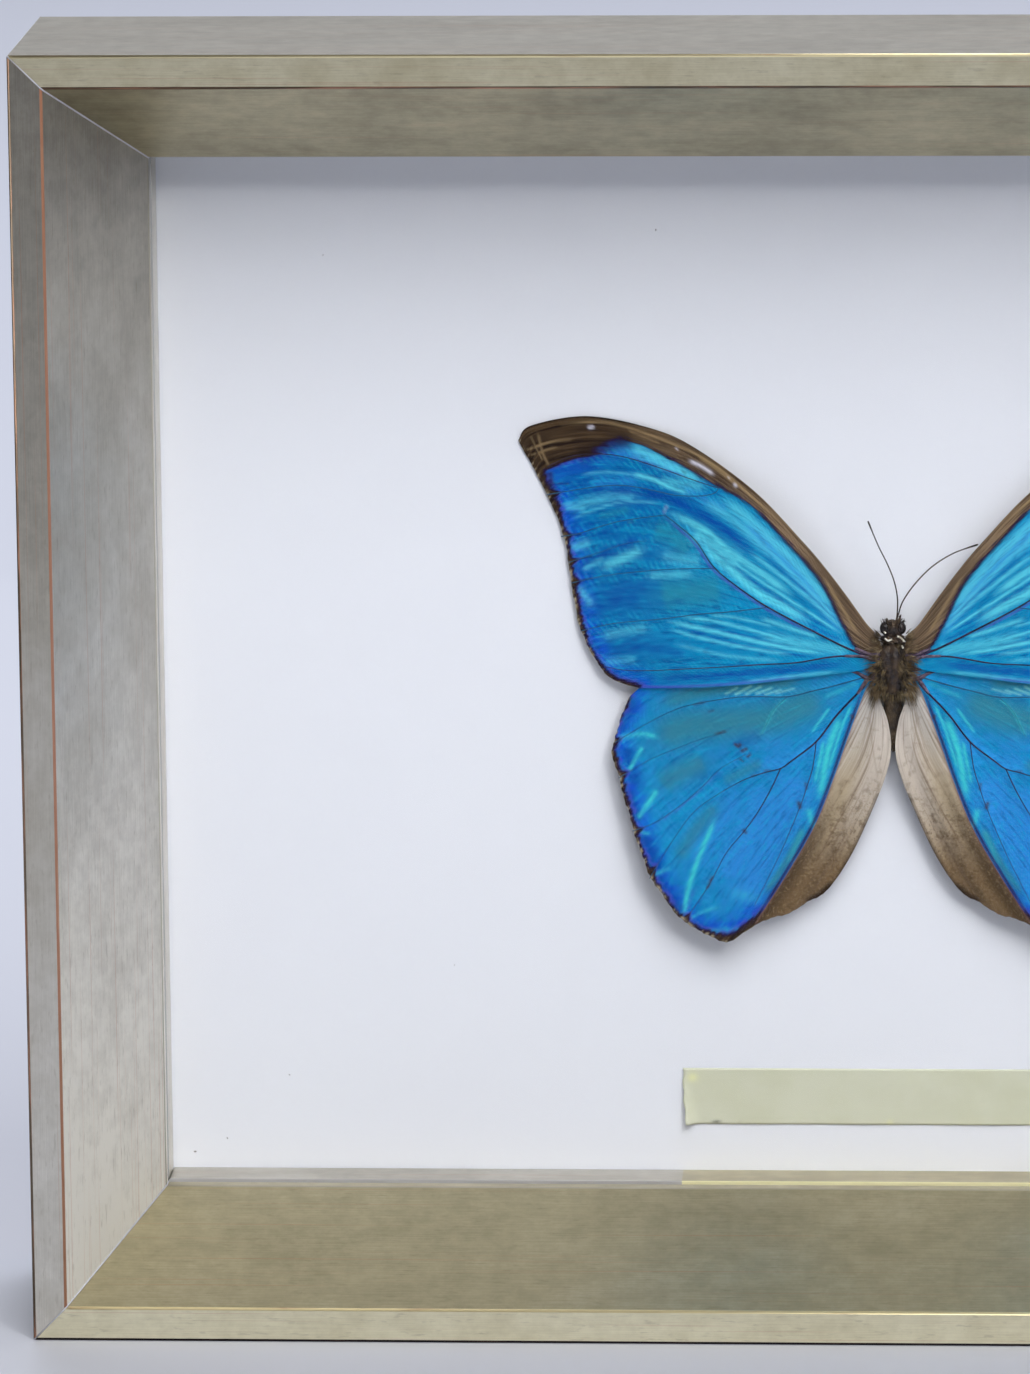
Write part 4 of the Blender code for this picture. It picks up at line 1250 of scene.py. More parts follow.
# %% Strokes of the forewing
FOREWING_STROKES = {
    # Painted highlights: the bright cyan rays where the wing's relief catches the light.
    "painted_highlight": [
        ([(-18.0, 11.8), (-23.5, 15.8), (-28.2, 18.9), (-32.9, 22.8), (-38.6, 25.6)], 0.62, 1.0),
        ([(-15.0, 6.9), (-19.5, 9.6), (-23.5, 11.9), (-28.2, 15.8), (-33.5, 20.3)], 0.75, 0.9),
        ([(-9.0, 4.6), (-15.0, 8.6), (-21.0, 12.6), (-27.0, 16.7), (-33.0, 21.4)], 0.26, 0.9),
        ([(-8.6, 5.2), (-13.5, 9.9), (-19.5, 14.9), (-25.0, 19.2)], 0.38, 0.75),
        ([(-9.2, 6.6), (-15.0, 12.8), (-20.5, 18.3), (-26.0, 23.4)], 0.50, 0.60),
        ([(-10.2, 8.6), (-15.2, 15.2), (-20.4, 20.6), (-25.6, 25.2), (-29.8, 28.4)], 1.00, 0.70),
        ([(-20.5, 18.2), (-24.6, 22.0), (-29.0, 25.6), (-33.0, 27.9)], 0.85, 0.55),
        ([(-45.8, 32.4), (-42.3, 31.7), (-38.8, 30.2), (-35.7, 29.4)], 0.40, 1.0),
        ([(-46.0, 37.3), (-42.0, 35.6), (-38.0, 33.7), (-33.5, 31.4)], 1.15, 0.75),
        ([(-33.0, 30.4), (-36.4, 30.9), (-41.0, 31.3)], 0.85, 0.55),
        ([(-54.6, 32.2), (-50.1, 32.7), (-45.0, 32.3)], 0.25, 0.45),
        ([(-40.9, 27.4), (-45.1, 27.6), (-48.8, 27.2), (-52.6, 25.9), (-56.3, 24.4)], 0.24, 0.55),
        ([(-26.5, 17.0), (-31.0, 19.8), (-35.0, 22.8)], 1.60, 0.72),
        ([(-7.4, 1.6), (-12.0, 2.2), (-17.0, 3.0), (-23.0, 4.4)], 1.00, 0.60),
        ([(-13.0, 4.0), (-18.0, 5.6), (-23.0, 7.4)], 0.40, 0.8),
        ([(-12.0, 1.0), (-19.8, 2.3), (-31.3, 5.0), (-39.4, 6.6)], 0.36, 0.95),
        ([(-16.0, 2.6), (-24.0, 5.0), (-31.0, 6.8), (-37.0, 7.5)], 0.28, 0.9),
        ([(-18.0, 0.9), (-26.0, 2.2), (-34.0, 3.9), (-39.0, 5.2)], 0.30, 0.8),
        ([(-20.0, -0.2), (-29.0, 0.7), (-38.0, 2.6)], 0.34, 0.5),
        ([(-21.0, 5.9), (-27.0, 7.4), (-32.0, 8.0)], 0.24, 0.8),
        ([(-35.0, 15.2), (-39.0, 15.0), (-43.0, 14.6)], 0.70, 0.55),
        ([(-33.5, 17.5), (-37.0, 17.6), (-40.6, 18.4)], 1.10, 0.40),
        ([(-44.0, 19.2), (-47.5, 17.5), (-51.0, 15.9)], 0.85, 0.75),
        ([(-44.8, 28.4), (-49.0, 28.2), (-52.6, 27.6), (-56.2, 26.4)], 0.95, 0.45),
        ([(-54.6, 26.4), (-57.0, 26.6)], 0.75, 0.6),
        ([(-54.0, 20.0), (-55.9, 19.4)], 0.75, 0.65),
        ([(-51.2, 17.2), (-54.0, 15.6)], 0.45, 0.55),
        ([(-53.4, 9.6), (-55.0, 11.6)], 0.75, 0.6),
        ([(-43.0, 5.4), (-47.0, 4.6), (-51.0, 3.6)], 0.80, 0.45),
        ([(-46.0, -0.4), (-50.0, -0.9)], 0.75, 0.35),
        ([(-10.0, -2.2), (-17.0, -2.9), (-26.0, -4.0)], 0.28, 0.55),
    ],
    "deep": [
        ([(-56.0, 28.6), (-51.3, 29.3), (-43.8, 29.2), (-38.8, 28.2), (-35.1, 26.5), (-31.3, 24.3),
          (-27.5, 21.7), (-24.0, 18.6)], 0.95, 1.0),
        ([(-44.4, 21.4), (-48.8, 19.2), (-53.2, 16.8), (-55.4, 14.2)], 0.75, 0.85),
        ([(-48.0, 23.4), (-52.0, 21.6), (-55.0, 20.4)], 0.8, 0.5),
        ([(-8.0, -0.5), (-15.8, -1.6), (-23.3, -2.2), (-32.0, -3.0), (-42.0, -3.6)], 0.75, 0.9),
        ([(-11.0, 5.2), (-17.5, 9.2), (-24.0, 13.6), (-30.0, 18.3), (-35.5, 23.2)], 0.26, 0.85),
        ([(-9.2, 6.0), (-14.2, 11.2), (-20.0, 16.4), (-24.0, 19.4)], 0.30, 0.55),
        ([(-53.0, 33.6), (-58.6, 32.9)], 1.05, 0.6),
        ([(-54.0, 31.0), (-59.6, 30.4)], 0.85, 0.6),
        ([(-44.5, 10.8), (-49.0, 10.0), (-53.0, 8.4)], 1.30, 0.5),
        ([(-9.0, 3.2), (-14.5, 6.2), (-20.0, 9.2)], 0.28, 0.6),
        ([(-14.0, 0.4), (-24.0, 2.0), (-33.0, 4.4), (-38.0, 5.7)], 0.22, 0.9),
        ([(-18.0, 2.1), (-27.0, 4.6), (-35.0, 6.2)], 0.20, 0.8),
        ([(-36.0, 0.8), (-43.0, 1.8), (-49.0, 1.4)], 0.90, 0.5),
        ([(-52.6, 23.6), (-56.0, 23.2)], 0.60, 0.6),
        ([(-41.6, 27.0), (-45.6, 27.3), (-49.4, 26.6)], 1.00, 0.6),
        ([(-42.0, 28.0), (-46.5, 27.8), (-50.0, 27.0)], 0.60, 0.55),
        ([(-41.0, 12.8), (-47.0, 12.4), (-52.0, 11.4)], 0.90, 0.45),
        ([(-36.0, 10.4), (-43.0, 9.6)], 0.60, 0.35),
    ],
    "violet": [
        # The first violet stroke is a painted highlight along the cell vein.
        ([(-14.2, 4.7), (-21.9, 8.9), (-26.6, 12.2), (-31.5, 16.0), (-35.0, 20.8),
          (-40.0, 25.0)], 0.22, 0.75),
        ([(-50.0, -3.3), (-44.3, -5.2), (-30.0, -4.5), (-16.0, -3.1)], 0.28, 0.6),
        ([(-38.6, 36.2), (-34.4, 34.4), (-30.0, 31.6)], 0.95, 0.9),
        ([(-46.4, 35.5), (-41.0, 33.8), (-36.0, 32.1)], 0.18, 0.4),
    ],
    "pale": [
        ([(-39.6, 26.9), (-40.1, 25.9)], 0.24, 0.25),
        ([(-35.6, 34.9), (-33.6, 34.1), (-31.4, 32.7)], 0.32, 0.9),
        ([(-53.2, 40.6), (-52.6, 40.7)], 0.26, 0.9),
        ([(-37.9, 37.0), (-37.7, 36.9)], 0.16, 0.9),
        ([(-27.6, 30.9), (-27.5, 30.8)], 0.26, 1.0),
        ([(-28.8, 32.2), (-28.6, 32.1)], 0.14, 0.8),
    ],
    "dusk": [
        ([(-45.4, 39.0), (-49.0, 38.0), (-52.6, 36.7), (-56.0, 35.6)], 1.55, 1.0),
        ([(-55.0, 35.8), (-60.0, 33.6)], 0.60, 0.7),
        ([(-60.2, 33.0), (-60.0, 30.4), (-59.0, 27.8)], 0.70, 0.75),
        ([(-7.2, 3.0), (-9.4, 7.2), (-12.4, 13.3), (-16.4, 18.5), (-20.6, 23.1), (-25.2, 27.7)], 0.22, 0.6),
        ([(-57.0, 30.6), (-60.2, 30.5)], 0.20, 0.6),
        ([(-54.8, 21.7), (-58.3, 21.2)], 0.22, 0.7),
        ([(-53.0, 17.8), (-57.0, 16.6)], 0.20, 0.6),
        ([(-53.0, 14.0), (-56.6, 12.9)], 0.20, 0.7),
    ],
    "sky": [
        ([(-8.4, 4.4), (-11.8, 9.4), (-16.6, 15.4), (-21.4, 20.4), (-26.4, 25.0)], 1.3, 0.8),
        ([(-50.4, 35.6), (-46.4, 36.8), (-42.0, 35.4), (-37.0, 33.4)], 1.2, 0.8),
        ([(-52.0, 30.6), (-46.0, 31.2)], 1.3, 0.5),
        ([(-30.0, 26.8), (-36.0, 29.6)], 0.9, 0.5),
    ],
    "teal": [
        ([(-30.0, 12.6), (-35.0, 12.0), (-41.0, 11.0)], 2.40, 0.85),
        ([(-35.5, 19.0), (-38.5, 21.8), (-42.0, 23.0)], 1.90, 0.70),
        ([(-47.0, 26.1), (-51.0, 25.0)], 0.60, 0.5),
        ([(-8.0, -2.4), (-18.0, -3.3)], 0.50, 0.4),
    ],
    "fleck": [
        ([(-36.8, 33.1), (-36.2, 32.9)], 0.20, 0.5),
        ([(-46.4, 23.9), (-45.6, 24.1)], 0.22, 0.4),
    ],
    "gold": [
        ([(-64.6, 36.4), (-60.6, 37.8), (-56.0, 38.6)], 0.16, 0.8),
        ([(-63.6, 35.6), (-59.0, 37.2)], 0.14, 0.6),
        ([(-62.2, 39.6), (-61.4, 36.0), (-60.2, 33.6)], 0.22, 0.6),
        ([(-63.4, 38.8), (-61.6, 35.0)], 0.12, 0.6),
        ([(-58.0, 41.0), (-52.0, 41.6), (-47.0, 40.8), (-40.0, 38.4), (-33.0, 35.3), (-27.0, 31.0),
          (-20.0, 24.6)], 0.20, 0.9),
        ([(-34.0, 35.8), (-29.6, 32.9), (-27.6, 31.2)], 0.42, 0.8),
        ([(-12.0, 14.6), (-8.4, 8.4), (-6.2, 4.6)], 0.26, 0.7),
        ([(-46.0, 39.9), (-41.0, 38.0)], 0.16, 0.6),
    ],
}
print("forewing strokes:", sum(len(layer) for layer in FOREWING_STROKES.values()))

# %% Strokes of the hindwing
HINDWING_STROKES = {
    # Painted highlights: the bright rays where the wing's relief catches the light.
    "painted_highlight": [
        ([(-9.1, -10.4), (-11.0, -15.0), (-12.2, -20.5), (-12.9, -24.5)], 0.66, 1.0),
        ([(-7.2, -8.0), (-8.9, -12.0), (-10.2, -16.0), (-11.4, -20.0)], 0.26, 0.9),
        ([(-12.2, -14.6), (-13.0, -18.6), (-13.8, -22.0)], 0.30, 0.9),
        ([(-14.8, -27.2), (-14.1, -29.6)], 0.55, 0.7),
        ([(-16.2, -31.0), (-18.0, -36.0)], 0.50, 0.3),
        ([(-31.4, -28.9), (-34.2, -35.4), (-36.2, -41.5), (-37.0, -46.6)], 0.42, 1.0),
        ([(-44.3, -16.4), (-46.4, -20.0)], 0.32, 0.95),
        ([(-41.9, -24.2), (-44.7, -28.3)], 0.45, 0.95),
        ([(-48.6, -14.8), (-44.6, -13.7), (-41.5, -14.4)], 0.45, 0.7),
        ([(-46.6, -7.7), (-47.9, -10.4)], 0.35, 0.5),
        ([(-11.4, -9.2), (-14.1, -12.9)], 0.26, 0.75),
        ([(-45.4, -31.0), (-43.2, -31.4)], 0.30, 0.6),
        ([(-42.4, -38.8), (-39.6, -37.6)], 0.40, 0.45),
        ([(-36.6, -46.9), (-33.0, -45.2), (-30.5, -44.6)], 0.35, 0.45),
        ([(-32.0, -49.0), (-27.8, -48.6)], 0.60, 0.40),
        ([(-6.0, -4.2), (-9.0, -5.6), (-12.0, -7.0)], 0.45, 0.35),
        ([(-18.7, -7.1), (-20.9, -9.2), (-22.3, -11.9), (-23.4, -14.0)], 0.16, 0.7),
        ([(-24.0, -43.0), (-27.6, -42.0)], 1.00, 0.25),
    ],
    "pale": [
        ([(-29.4, -6.4), (-27.4, -5.3)], 0.20, 0.45),
        ([(-27.6, -6.4), (-25.0, -5.0)], 0.22, 0.6),
        ([(-25.8, -6.4), (-23.2, -5.0)], 0.20, 0.6),
        ([(-24.0, -6.3), (-21.4, -5.3)], 0.20, 0.55),
        ([(-22.4, -6.4), (-19.8, -5.6)], 0.18, 0.5),
        ([(-20.6, -6.2), (-17.4, -5.4)], 0.22, 0.35),
    ],
    "sky": [
        ([(-15.6, -20.0), (-19.6, -29.0), (-23.6, -38.0), (-27.0, -45.0)], 4.2, 0.85),
        ([(-21.0, -23.0), (-25.0, -31.0), (-30.0, -40.0)], 3.6, 0.85),
        ([(-10.0, -12.5), (-17.0, -17.5), (-24.0, -19.5)], 1.4, 0.6),
        ([(-28.0, -26.0), (-34.0, -34.0)], 2.6, 0.6),
        ([(-26.0, -12.6), (-21.0, -15.0)], 2.0, 0.4),
    ],
    "deep": [
        ([(-46.2, -8.8), (-48.0, -12.2)], 1.10, 0.9),
        ([(-46.8, -15.9), (-46.4, -19.0), (-45.0, -23.2)], 1.10, 0.9),
        ([(-46.4, -24.4), (-45.0, -28.6)], 0.80, 0.9),
        ([(-43.8, -32.8), (-41.4, -37.6)], 1.30, 0.9),
        ([(-41.6, -39.6), (-38.6, -44.4)], 1.30, 0.9),
        ([(-35.0, -47.8), (-30.6, -49.4)], 0.85, 0.6),
        ([(-10.6, -22.0), (-13.0, -28.4), (-17.5, -36.5), (-22.5, -44.4)], 0.85, 0.6),
        ([(-8.4, -9.4), (-10.0, -13.6), (-11.4, -18.6)], 0.20, 0.6),
        ([(-27.4, -15.4), (-24.4, -14.0)], 1.1, 0.45),
        ([(-30.0, -21.2), (-34.0, -21.0)], 0.9, 0.30),
    ],
    "violet": [
        ([(-4.8, -5.0), (-5.7, -6.6), (-8.6, -14.7), (-11.1, -21.9), (-14.3, -29.8), (-19.2, -38.5),
          (-24.0, -46.4)], 0.20, 0.6),
        ([(-30.6, -20.2), (-34.0, -23.6), (-38.0, -27.0), (-42.0, -29.8)], 0.14, 0.5),
        ([(-35.2, -41.6), (-36.6, -46.0)], 0.16, 0.4),
    ],
    "teal": [
        ([(-12.0, -6.5), (-20.0, -10.2), (-28.0, -11.4), (-37.0, -12.6), (-42.0, -15.4)], 3.00, 0.95),
        ([(-16.0, -4.4), (-25.0, -4.6), (-35.0, -6.4), (-41.0, -8.6)], 1.50, 0.85),
        ([(-33.0, -18.6), (-38.0, -20.8), (-41.0, -23.0)], 2.00, 0.75),
        ([(-31.0, -26.2), (-35.0, -31.0), (-38.0, -36.0)], 1.20, 0.6),
        ([(-24.0, -19.0), (-29.0, -21.6)], 0.90, 0.55),
        ([(-15.6, -30.0), (-19.0, -36.6), (-22.6, -42.0)], 0.60, 0.8),
    ],
    "fleck": [
        ([(-27.9, -15.3), (-27.2, -15.8), (-26.8, -15.2)], 0.30, 1.0),
        ([(-26.6, -16.6), (-25.8, -16.2)], 0.28, 1.0),
        ([(-25.6, -17.6), (-25.2, -17.2)], 0.24, 0.9),
        ([(-27.0, -18.0), (-26.4, -18.4)], 0.20, 0.7),
        ([(-31.2, -13.6), (-29.6, -13.1)], 0.22, 0.9),
        ([(-35.0, -8.4), (-33.2, -7.9)], 0.20, 0.8),
        ([(-32.4, -9.6), (-31.6, -9.4)], 0.16, 0.6),
        ([(-16.6, -25.7), (-16.4, -26.5)], 0.32, 1.0),
        ([(-15.4, -22.2), (-15.2, -23.2)], 0.20, 0.8),
        ([(-26.3, -30.7), (-26.0, -31.1)], 0.28, 0.9),
        ([(-32.8, -41.0), (-31.9, -39.1)], 0.26, 0.9),
        ([(-7.3, -10.2), (-7.1, -10.6)], 0.26, 0.9),
        ([(-24.8, -20.9), (-24.2, -20.7)], 0.18, 0.7),
        ([(-22.6, -20.0), (-21.8, -19.9)], 0.18, 0.7),
    ],
    "dusk": [
        ([(-4.8, -5.0), (-5.7, -6.6), (-8.6, -14.7), (-11.1, -21.9), (-14.3, -29.8), (-19.2, -38.5),
          (-24.2, -46.4)], 0.30, 0.90),
        ([(-19.4, -40.0), (-23.6, -46.6), (-26.0, -48.2)], 0.85, 0.75),
        ([(-24.6, -47.6), (-28.0, -49.8)], 0.60, 0.6),
    ],
    "gold": [
        ([(-6.6, -8.0), (-8.6, -15.0), (-11.4, -23.0)], 0.12, 0.6),
        ([(-4.2, -10.0), (-3.6, -16.0), (-2.6, -22.0)], 0.14, 0.7),
        ([(-6.0, -22.0), (-9.0, -30.0), (-12.6, -37.0)], 0.20, 0.5),
        ([(-3.4, -7.6), (-5.0, -14.0), (-6.4, -21.0)], 0.12, 0.5),
    ],
}
print("hindwing strokes:", sum(len(layer) for layer in HINDWING_STROKES.values()))


# %% Add strokes up
STROKE_END, STROKE_LEAST = 0.12, 0.25


def strokes(points, layer):
    """Return the strongest stroke at each point.

    A stroke fades across its width, and at its ends unless it is only a dab of two knots.
    """
    result = np.zeros(len(points))
    for route, width, strength in layer:
        gap, along = reach(points, route)
        ends = ease(along, 0.0, STROKE_END) * ease(1 - along, 0.0, STROKE_END)
        if len(route) == 2:
            ends = np.ones(len(points))
        body = STROKE_LEAST + (1 - STROKE_LEAST) * ends
        result = np.maximum(result, strength * np.exp(-(gap / width) ** 2) * body)
    return result


at_start = strokes(np.array([(-9.1, -10.4)]), HINDWING_STROKES["painted_highlight"])[0]
print("strength at the start of a stroke:", round(float(at_start), 2))

# %% [markdown]
# ## The border
#
# Round the blue runs a dark brown border, widest at the tip of the forewing. The blue ends
# in a lobe between each pair of veins, and every lobe has a violet rim. So the border is a
# signed distance from the edge of the blue, and near the ends of the veins it bites inwards.

# %% How far each point is past the edge of the blue
FOREWING_BLUE = [(-4.8, 0.9), (-6.9, 2.6), (-9.1, 7.0), (-12.1, 13.2), (-16.1, 18.4), (-20.3, 23.0),
                 (-24.9, 27.6), (-30.4, 30.6), (-35.1, 33.2), (-39.4, 35.8), (-41.9, 37.1), (-44.4, 38.3),
                 (-46.9, 38.9), (-48.8, 38.5), (-51.3, 37.4), (-53.2, 36.3), (-55.1, 35.5), (-58.5, 34.6),
                 (-61.0, 33.0), (-60.6, 30.6), (-59.7, 29.0), (-58.8, 27.2), (-58.3, 25.0), (-57.9, 23.2),
                 (-57.1, 21.0), (-56.8, 18.4), (-56.3, 15.6), (-55.8, 12.9), (-55.4, 10.4), (-54.7, 6.0),
                 (-53.6, 2.4), (-51.4, -1.4), (-48.4, -3.9), (-44.4, -5.2), (-44.4, -7.5), (-2.0, -7.5),
                 (-2.0, 0.9)]
HINDWING_BLUE = [(-2.0, 3.0), (-47.0, 3.0), (-46.3, -7.0), (-48.8, -12.4), (-49.0, -16.6),
                 (-47.6, -22.0), (-45.4, -30.5), (-42.3, -39.0), (-37.2, -46.3), (-32.5, -49.1),
                 (-28.6, -49.3), (-26.0, -47.6), (-22.0, -44.6), (-12.0, -40.0), (2.0, -40.0),
                 (2.0, 3.0)]


BITE, BITE_WIDTH, BITE_RUN = 0.95, 0.50, 8


def past_blue(points, loop, veins, start):
    """Return how far each point is past the blue; the veins bite from a distance on."""
    edge = curve_through(loop, 3)[:-1]
    gap = np.full(len(points), np.inf)
    for first, second in zip(edge, np.roll(edge, -1, axis=0)):
        run = second - first
        share = np.clip((points - first) @ run / (run @ run + 1e-9), 0, 1)
        gap = np.minimum(gap, np.linalg.norm(points - first - share[:, None] * run, axis=1))
    signed = np.where(inside(points, edge), -gap, gap)
    reached = ease(from_root(points), start, start + BITE_RUN)
    bite = BITE * np.exp(-(nearest_vein(points, veins) / BITE_WIDTH) ** 2) * reached
    return signed + bite


tip_past = past_blue(np.array([(-63.0, 38.0)]), FOREWING_BLUE, FOREWING_VEINS, 45)[0]
print("the tip is", round(float(tip_past), 1), "mm past the blue")

# %% [markdown]
# ## Wing surfaces
#
# A wing outline has four sides, so a grid can be bent to fill it: a Coons patch blends the
# curves of opposite edges. Rows then run from the root to the margin as the scales do, and
# two numbers, along and across, stay on the points for patterns that follow the wing. The
# outer edge is frayed a little. Solidify gives the skin its thickness and a brown underside.

# %% Bend a grid into a wing
FRAY_FROM = 0.965


def patch(along, across, trail, lead, root_side, margin):
    """Blend four edge curves over a grid whose along and across run from nought to one."""
    def on(edge, share):
        """Return the places at shares of the way along an edge."""
        stops = np.linspace(0, 1, len(edge))
        return np.stack([np.interp(share, stops, edge[:, axis]) for axis in (0, 1)], axis=1)
    u, v = along[:, None], across[:, None]
    corners = ((1 - u) * (1 - v) * trail[0] + u * (1 - v) * trail[-1]
               + (1 - u) * v * lead[0] + u * v * lead[-1])
    return ((1 - v) * on(trail, along) + v * on(lead, along)
            + (1 - u) * on(root_side, across) + u * on(margin, across) - corners)


def frayed(points, along, across, depth):
    """Fray the margin: teeth of a few tenths of a millimetre that die out inwards."""
    teeth = (0.5 * np.sin(across * 61.0) + 0.3 * np.sin(across * 147.0 + 1.3)
             + 0.35 * np.sin(across * 331.0 + 0.5))
    out = (points - ROOT) / from_root(points)[:, None]
    return points + out * (depth * teeth * ease(along, FRAY_FROM, 1.0))[:, None]


CROWDING, EDGE_STEPS, EDGE_POINTS, ROOT_POINTS = 1.15, 24, 400, 20


def wing_grid(name, wing):
    """Return a left wing as a mesh, with its flat places in millimetres."""
    bm = bmesh.new()
    bmesh.ops.create_grid(bm, x_segments=wing["columns"], y_segments=wing["rows"], size=1.0)
    mesh = mesh_from(name, bm)
    places = np.empty(len(mesh.vertices) * 3)
    mesh.vertices.foreach_get("co", places)
    along, across = ((places.reshape(-1, 3)[:, axis] + 1) / 2 for axis in (0, 1))
    along = 1 - (1 - along) ** CROWDING
    trail, lead, margin = (evenly(curve_through(edge, EDGE_STEPS), EDGE_POINTS)
                           for edge in wing["edges"])
    root_side = np.linspace(trail[0], lead[0], ROOT_POINTS)
    flat = patch(along, across, trail, lead, root_side, margin)
    flat = frayed(flat, along, across, wing["fray"])
    solid = np.stack([flat[:, 0] * MM, BOARD_FACE - wing["height"](flat) * MM,
                      BODY_HEIGHT + flat[:, 1] * MM], axis=1)
    mesh.vertices.foreach_set("co", solid.ravel())
    return mesh, flat, along, across


WINGS = {
    "forewing": dict(columns=270, rows=140, edges=(FOREWING_TRAIL, COSTA, FOREWING_MARGIN),
                     height=forewing_height, fray=0.16, strokes=FOREWING_STROKES,
                     blue=FOREWING_BLUE, veins=FOREWING_VEINS, lobes=46),
    "hindwing": dict(columns=210, rows=170, edges=(HINDWING_INNER, HINDWING_HIDDEN, HINDWING_MARGIN),
                     height=hindwing_height, fray=0.22, strokes=HINDWING_STROKES,
                     blue=HINDWING_BLUE, veins=HINDWING_VEINS, lobes=38),
}
print("wing grids:", {name: (wing["columns"], wing["rows"]) for name, wing in WINGS.items()})

# %% [markdown]
# ## Wing finish
#
# The finish lays the painted layers over each other as a restorer would: the middle blue,
# the greener and deeper zones, the bright rays, then the violet rims, the dark border and
# the bare flecks. Fine patterns break them up: rows of scales as grain, hair lines that run
# out from the root, and combs of short ripples beside the veins. The blue is slightly
# metallic, because the scales mirror light in their own colour.
#
# Both wings share one kind of finish, which makes these patterns first. A table holds what
# differs between them.

# %% Patterns of a wing
MID_BLUE, SKY_BLUE = (0.002, 0.250, 0.530), (0.030, 0.260, 0.720)
# The bright cyan, like each look's ray colour, is the colour of the painted highlights.
BRIGHT_CYAN, DEEP_BLUE = (0.120, 0.690, 0.810), (0.001, 0.070, 0.370)
GRAIN_LIGHT, GRAIN_DARK, ROYAL = (0.006, 0.420, 0.670), (0.001, 0.065, 0.270), (0.004, 0.075, 0.640)
OUTER_BLUE, COMB_LIGHT = (0.001, 0.120, 0.410), (0.012, 0.470, 0.660)
TEAL, VIOLET, DUSK = (0.018, 0.190, 0.290), (0.075, 0.080, 0.500), (0.016, 0.008, 0.035)
PALE_GREEN, PALE_LILAC, FLECK = (0.300, 0.780, 0.660), (0.700, 0.690, 0.800), (0.050, 0.030, 0.045)
BORDER_DARK, BORDER_WARM, GOLD = (0.014, 0.007, 0.005), (0.092, 0.056, 0.026), (0.34, 0.235, 0.115)
COSTA_DARK, COSTA_LIGHT, FRINGE = (0.045, 0.026, 0.015), (0.225, 0.152, 0.090), (0.42, 0.36, 0.25)
LOOKS = {
    "forewing": dict(ground=MID_BLUE, green=(0.020, 0.330, 0.470), ray=BRIGHT_CYAN, pale=PALE_LILAC,
                     combs=0.42, dark=0.60, gold=0.8),
    "hindwing": dict(ground=SKY_BLUE, green=(0.045, 0.255, 0.320), ray=(0.055, 0.640, 0.650),
                     pale=PALE_GREEN, combs=0.14, dark=0.34, gold=0.5),
}


class WingFinish(Finish):
    """A finish with the fine patterns of a wing, some even and some along its rays."""

    def __init__(self, name):
        super().__init__(name, Specular_IOR_Level=0.06)
        place, self.fan = self.place(), self.unwrapped("fan")
        self.grain = self.noise(self.stretched(place, (2100, 1, 2100)), 1.0, 3.0, 0.7)
        self.blotch = self.noise(self.stretched(place, (620, 1, 620)), 1.0, 3.0, 0.6)
        self.hairs = self.rays((34, 1300, 1), 3.0, 0.65)
        self.dashes = self.rays((360, 2300, 1), 2.0, 0.6, (0, 0, 0.12))
        self.streaky = self.rays((70, 1900, 1), 3.0, 0.6)
        waves = {"Vector": self.stretched(self.fan, (1, 1, 1), (0, 0, 0.6)), "Scale": 330.0,
                 "Distortion": 2.2, "Detail": 2.0, "Detail Scale": 0.9}
        comb = self.add("TexWave", waves, bands_direction="X").outputs["Fac"]
        near_vein = self.between(self.layer("vein"), 3.4, 0.5)
        self.combed = self.times(self.times(comb, near_vein), self.between(self.blotch, 0.38, 0.58))

    def rays(self, scale, detail, roughness, turn=(0, 0, 0)):
        """Stretched noise that follows the wing from its root to its margin."""
        return self.noise(self.stretched(self.fan, scale, turn), 1.0, detail, roughness)

    def broken(self, layer, pattern, start, end, low=0.0, high=1.0):
        """A painted layer that a pattern breaks up."""
        return self.times(self.layer(layer), self.between(pattern, start, end, low, high))


print("looks:", list(LOOKS))


# %% The blue, the border and the fold
def blue_tone(finish, look):
    """Lay the blues over each other, from the broad zones to the grain and the rays."""
    grain, hairs, dashes, blotch = finish.grain, finish.hairs, finish.dashes, finish.blotch
    return finish.lay(MID_BLUE, [
        (finish.between(blotch, 0.3, 0.7, 0.0, 0.5), look["ground"]),
        (finish.times(finish.layer("outer"), 0.75), OUTER_BLUE),
        (finish.layer("sky"), SKY_BLUE),
        (finish.broken("teal", grain, 0.1, 0.7, 0.6, 1.0), TEAL),
        (finish.broken("rim", blotch, 0.3, 0.6, 0.35, 1.0), ROYAL),
        (finish.times(finish.combed, look["combs"]), COMB_LIGHT),
        (finish.between(hairs, 0.54, 0.70, 0.0, 0.45), GRAIN_LIGHT),
        (finish.between(hairs, 0.46, 0.30, 0.0, look["dark"]), GRAIN_DARK),
        (finish.between(dashes, 0.54, 0.70, 0.0, 0.45), GRAIN_LIGHT),
        (finish.between(dashes, 0.46, 0.32, 0.0, look["dark"]), GRAIN_DARK),
        (finish.between(grain, 0.56, 0.70, 0.0, 0.40), GRAIN_LIGHT),
        (finish.between(grain, 0.44, 0.32, 0.0, 0.50), GRAIN_DARK),
        (finish.broken("deep", dashes, 0.66, 0.40, 0.55, 1.0), DEEP_BLUE),
        (finish.broken("teal", blotch, 0.35, 0.6, 0.45, 0.65), look["green"]),
        # The painted highlights, in each look's ray colour.
        (finish.broken("painted_highlight", dashes, 0.34, 0.60, 0.62, 1.0), look["ray"]),
        (finish.layer("violet"), VIOLET),
    ])


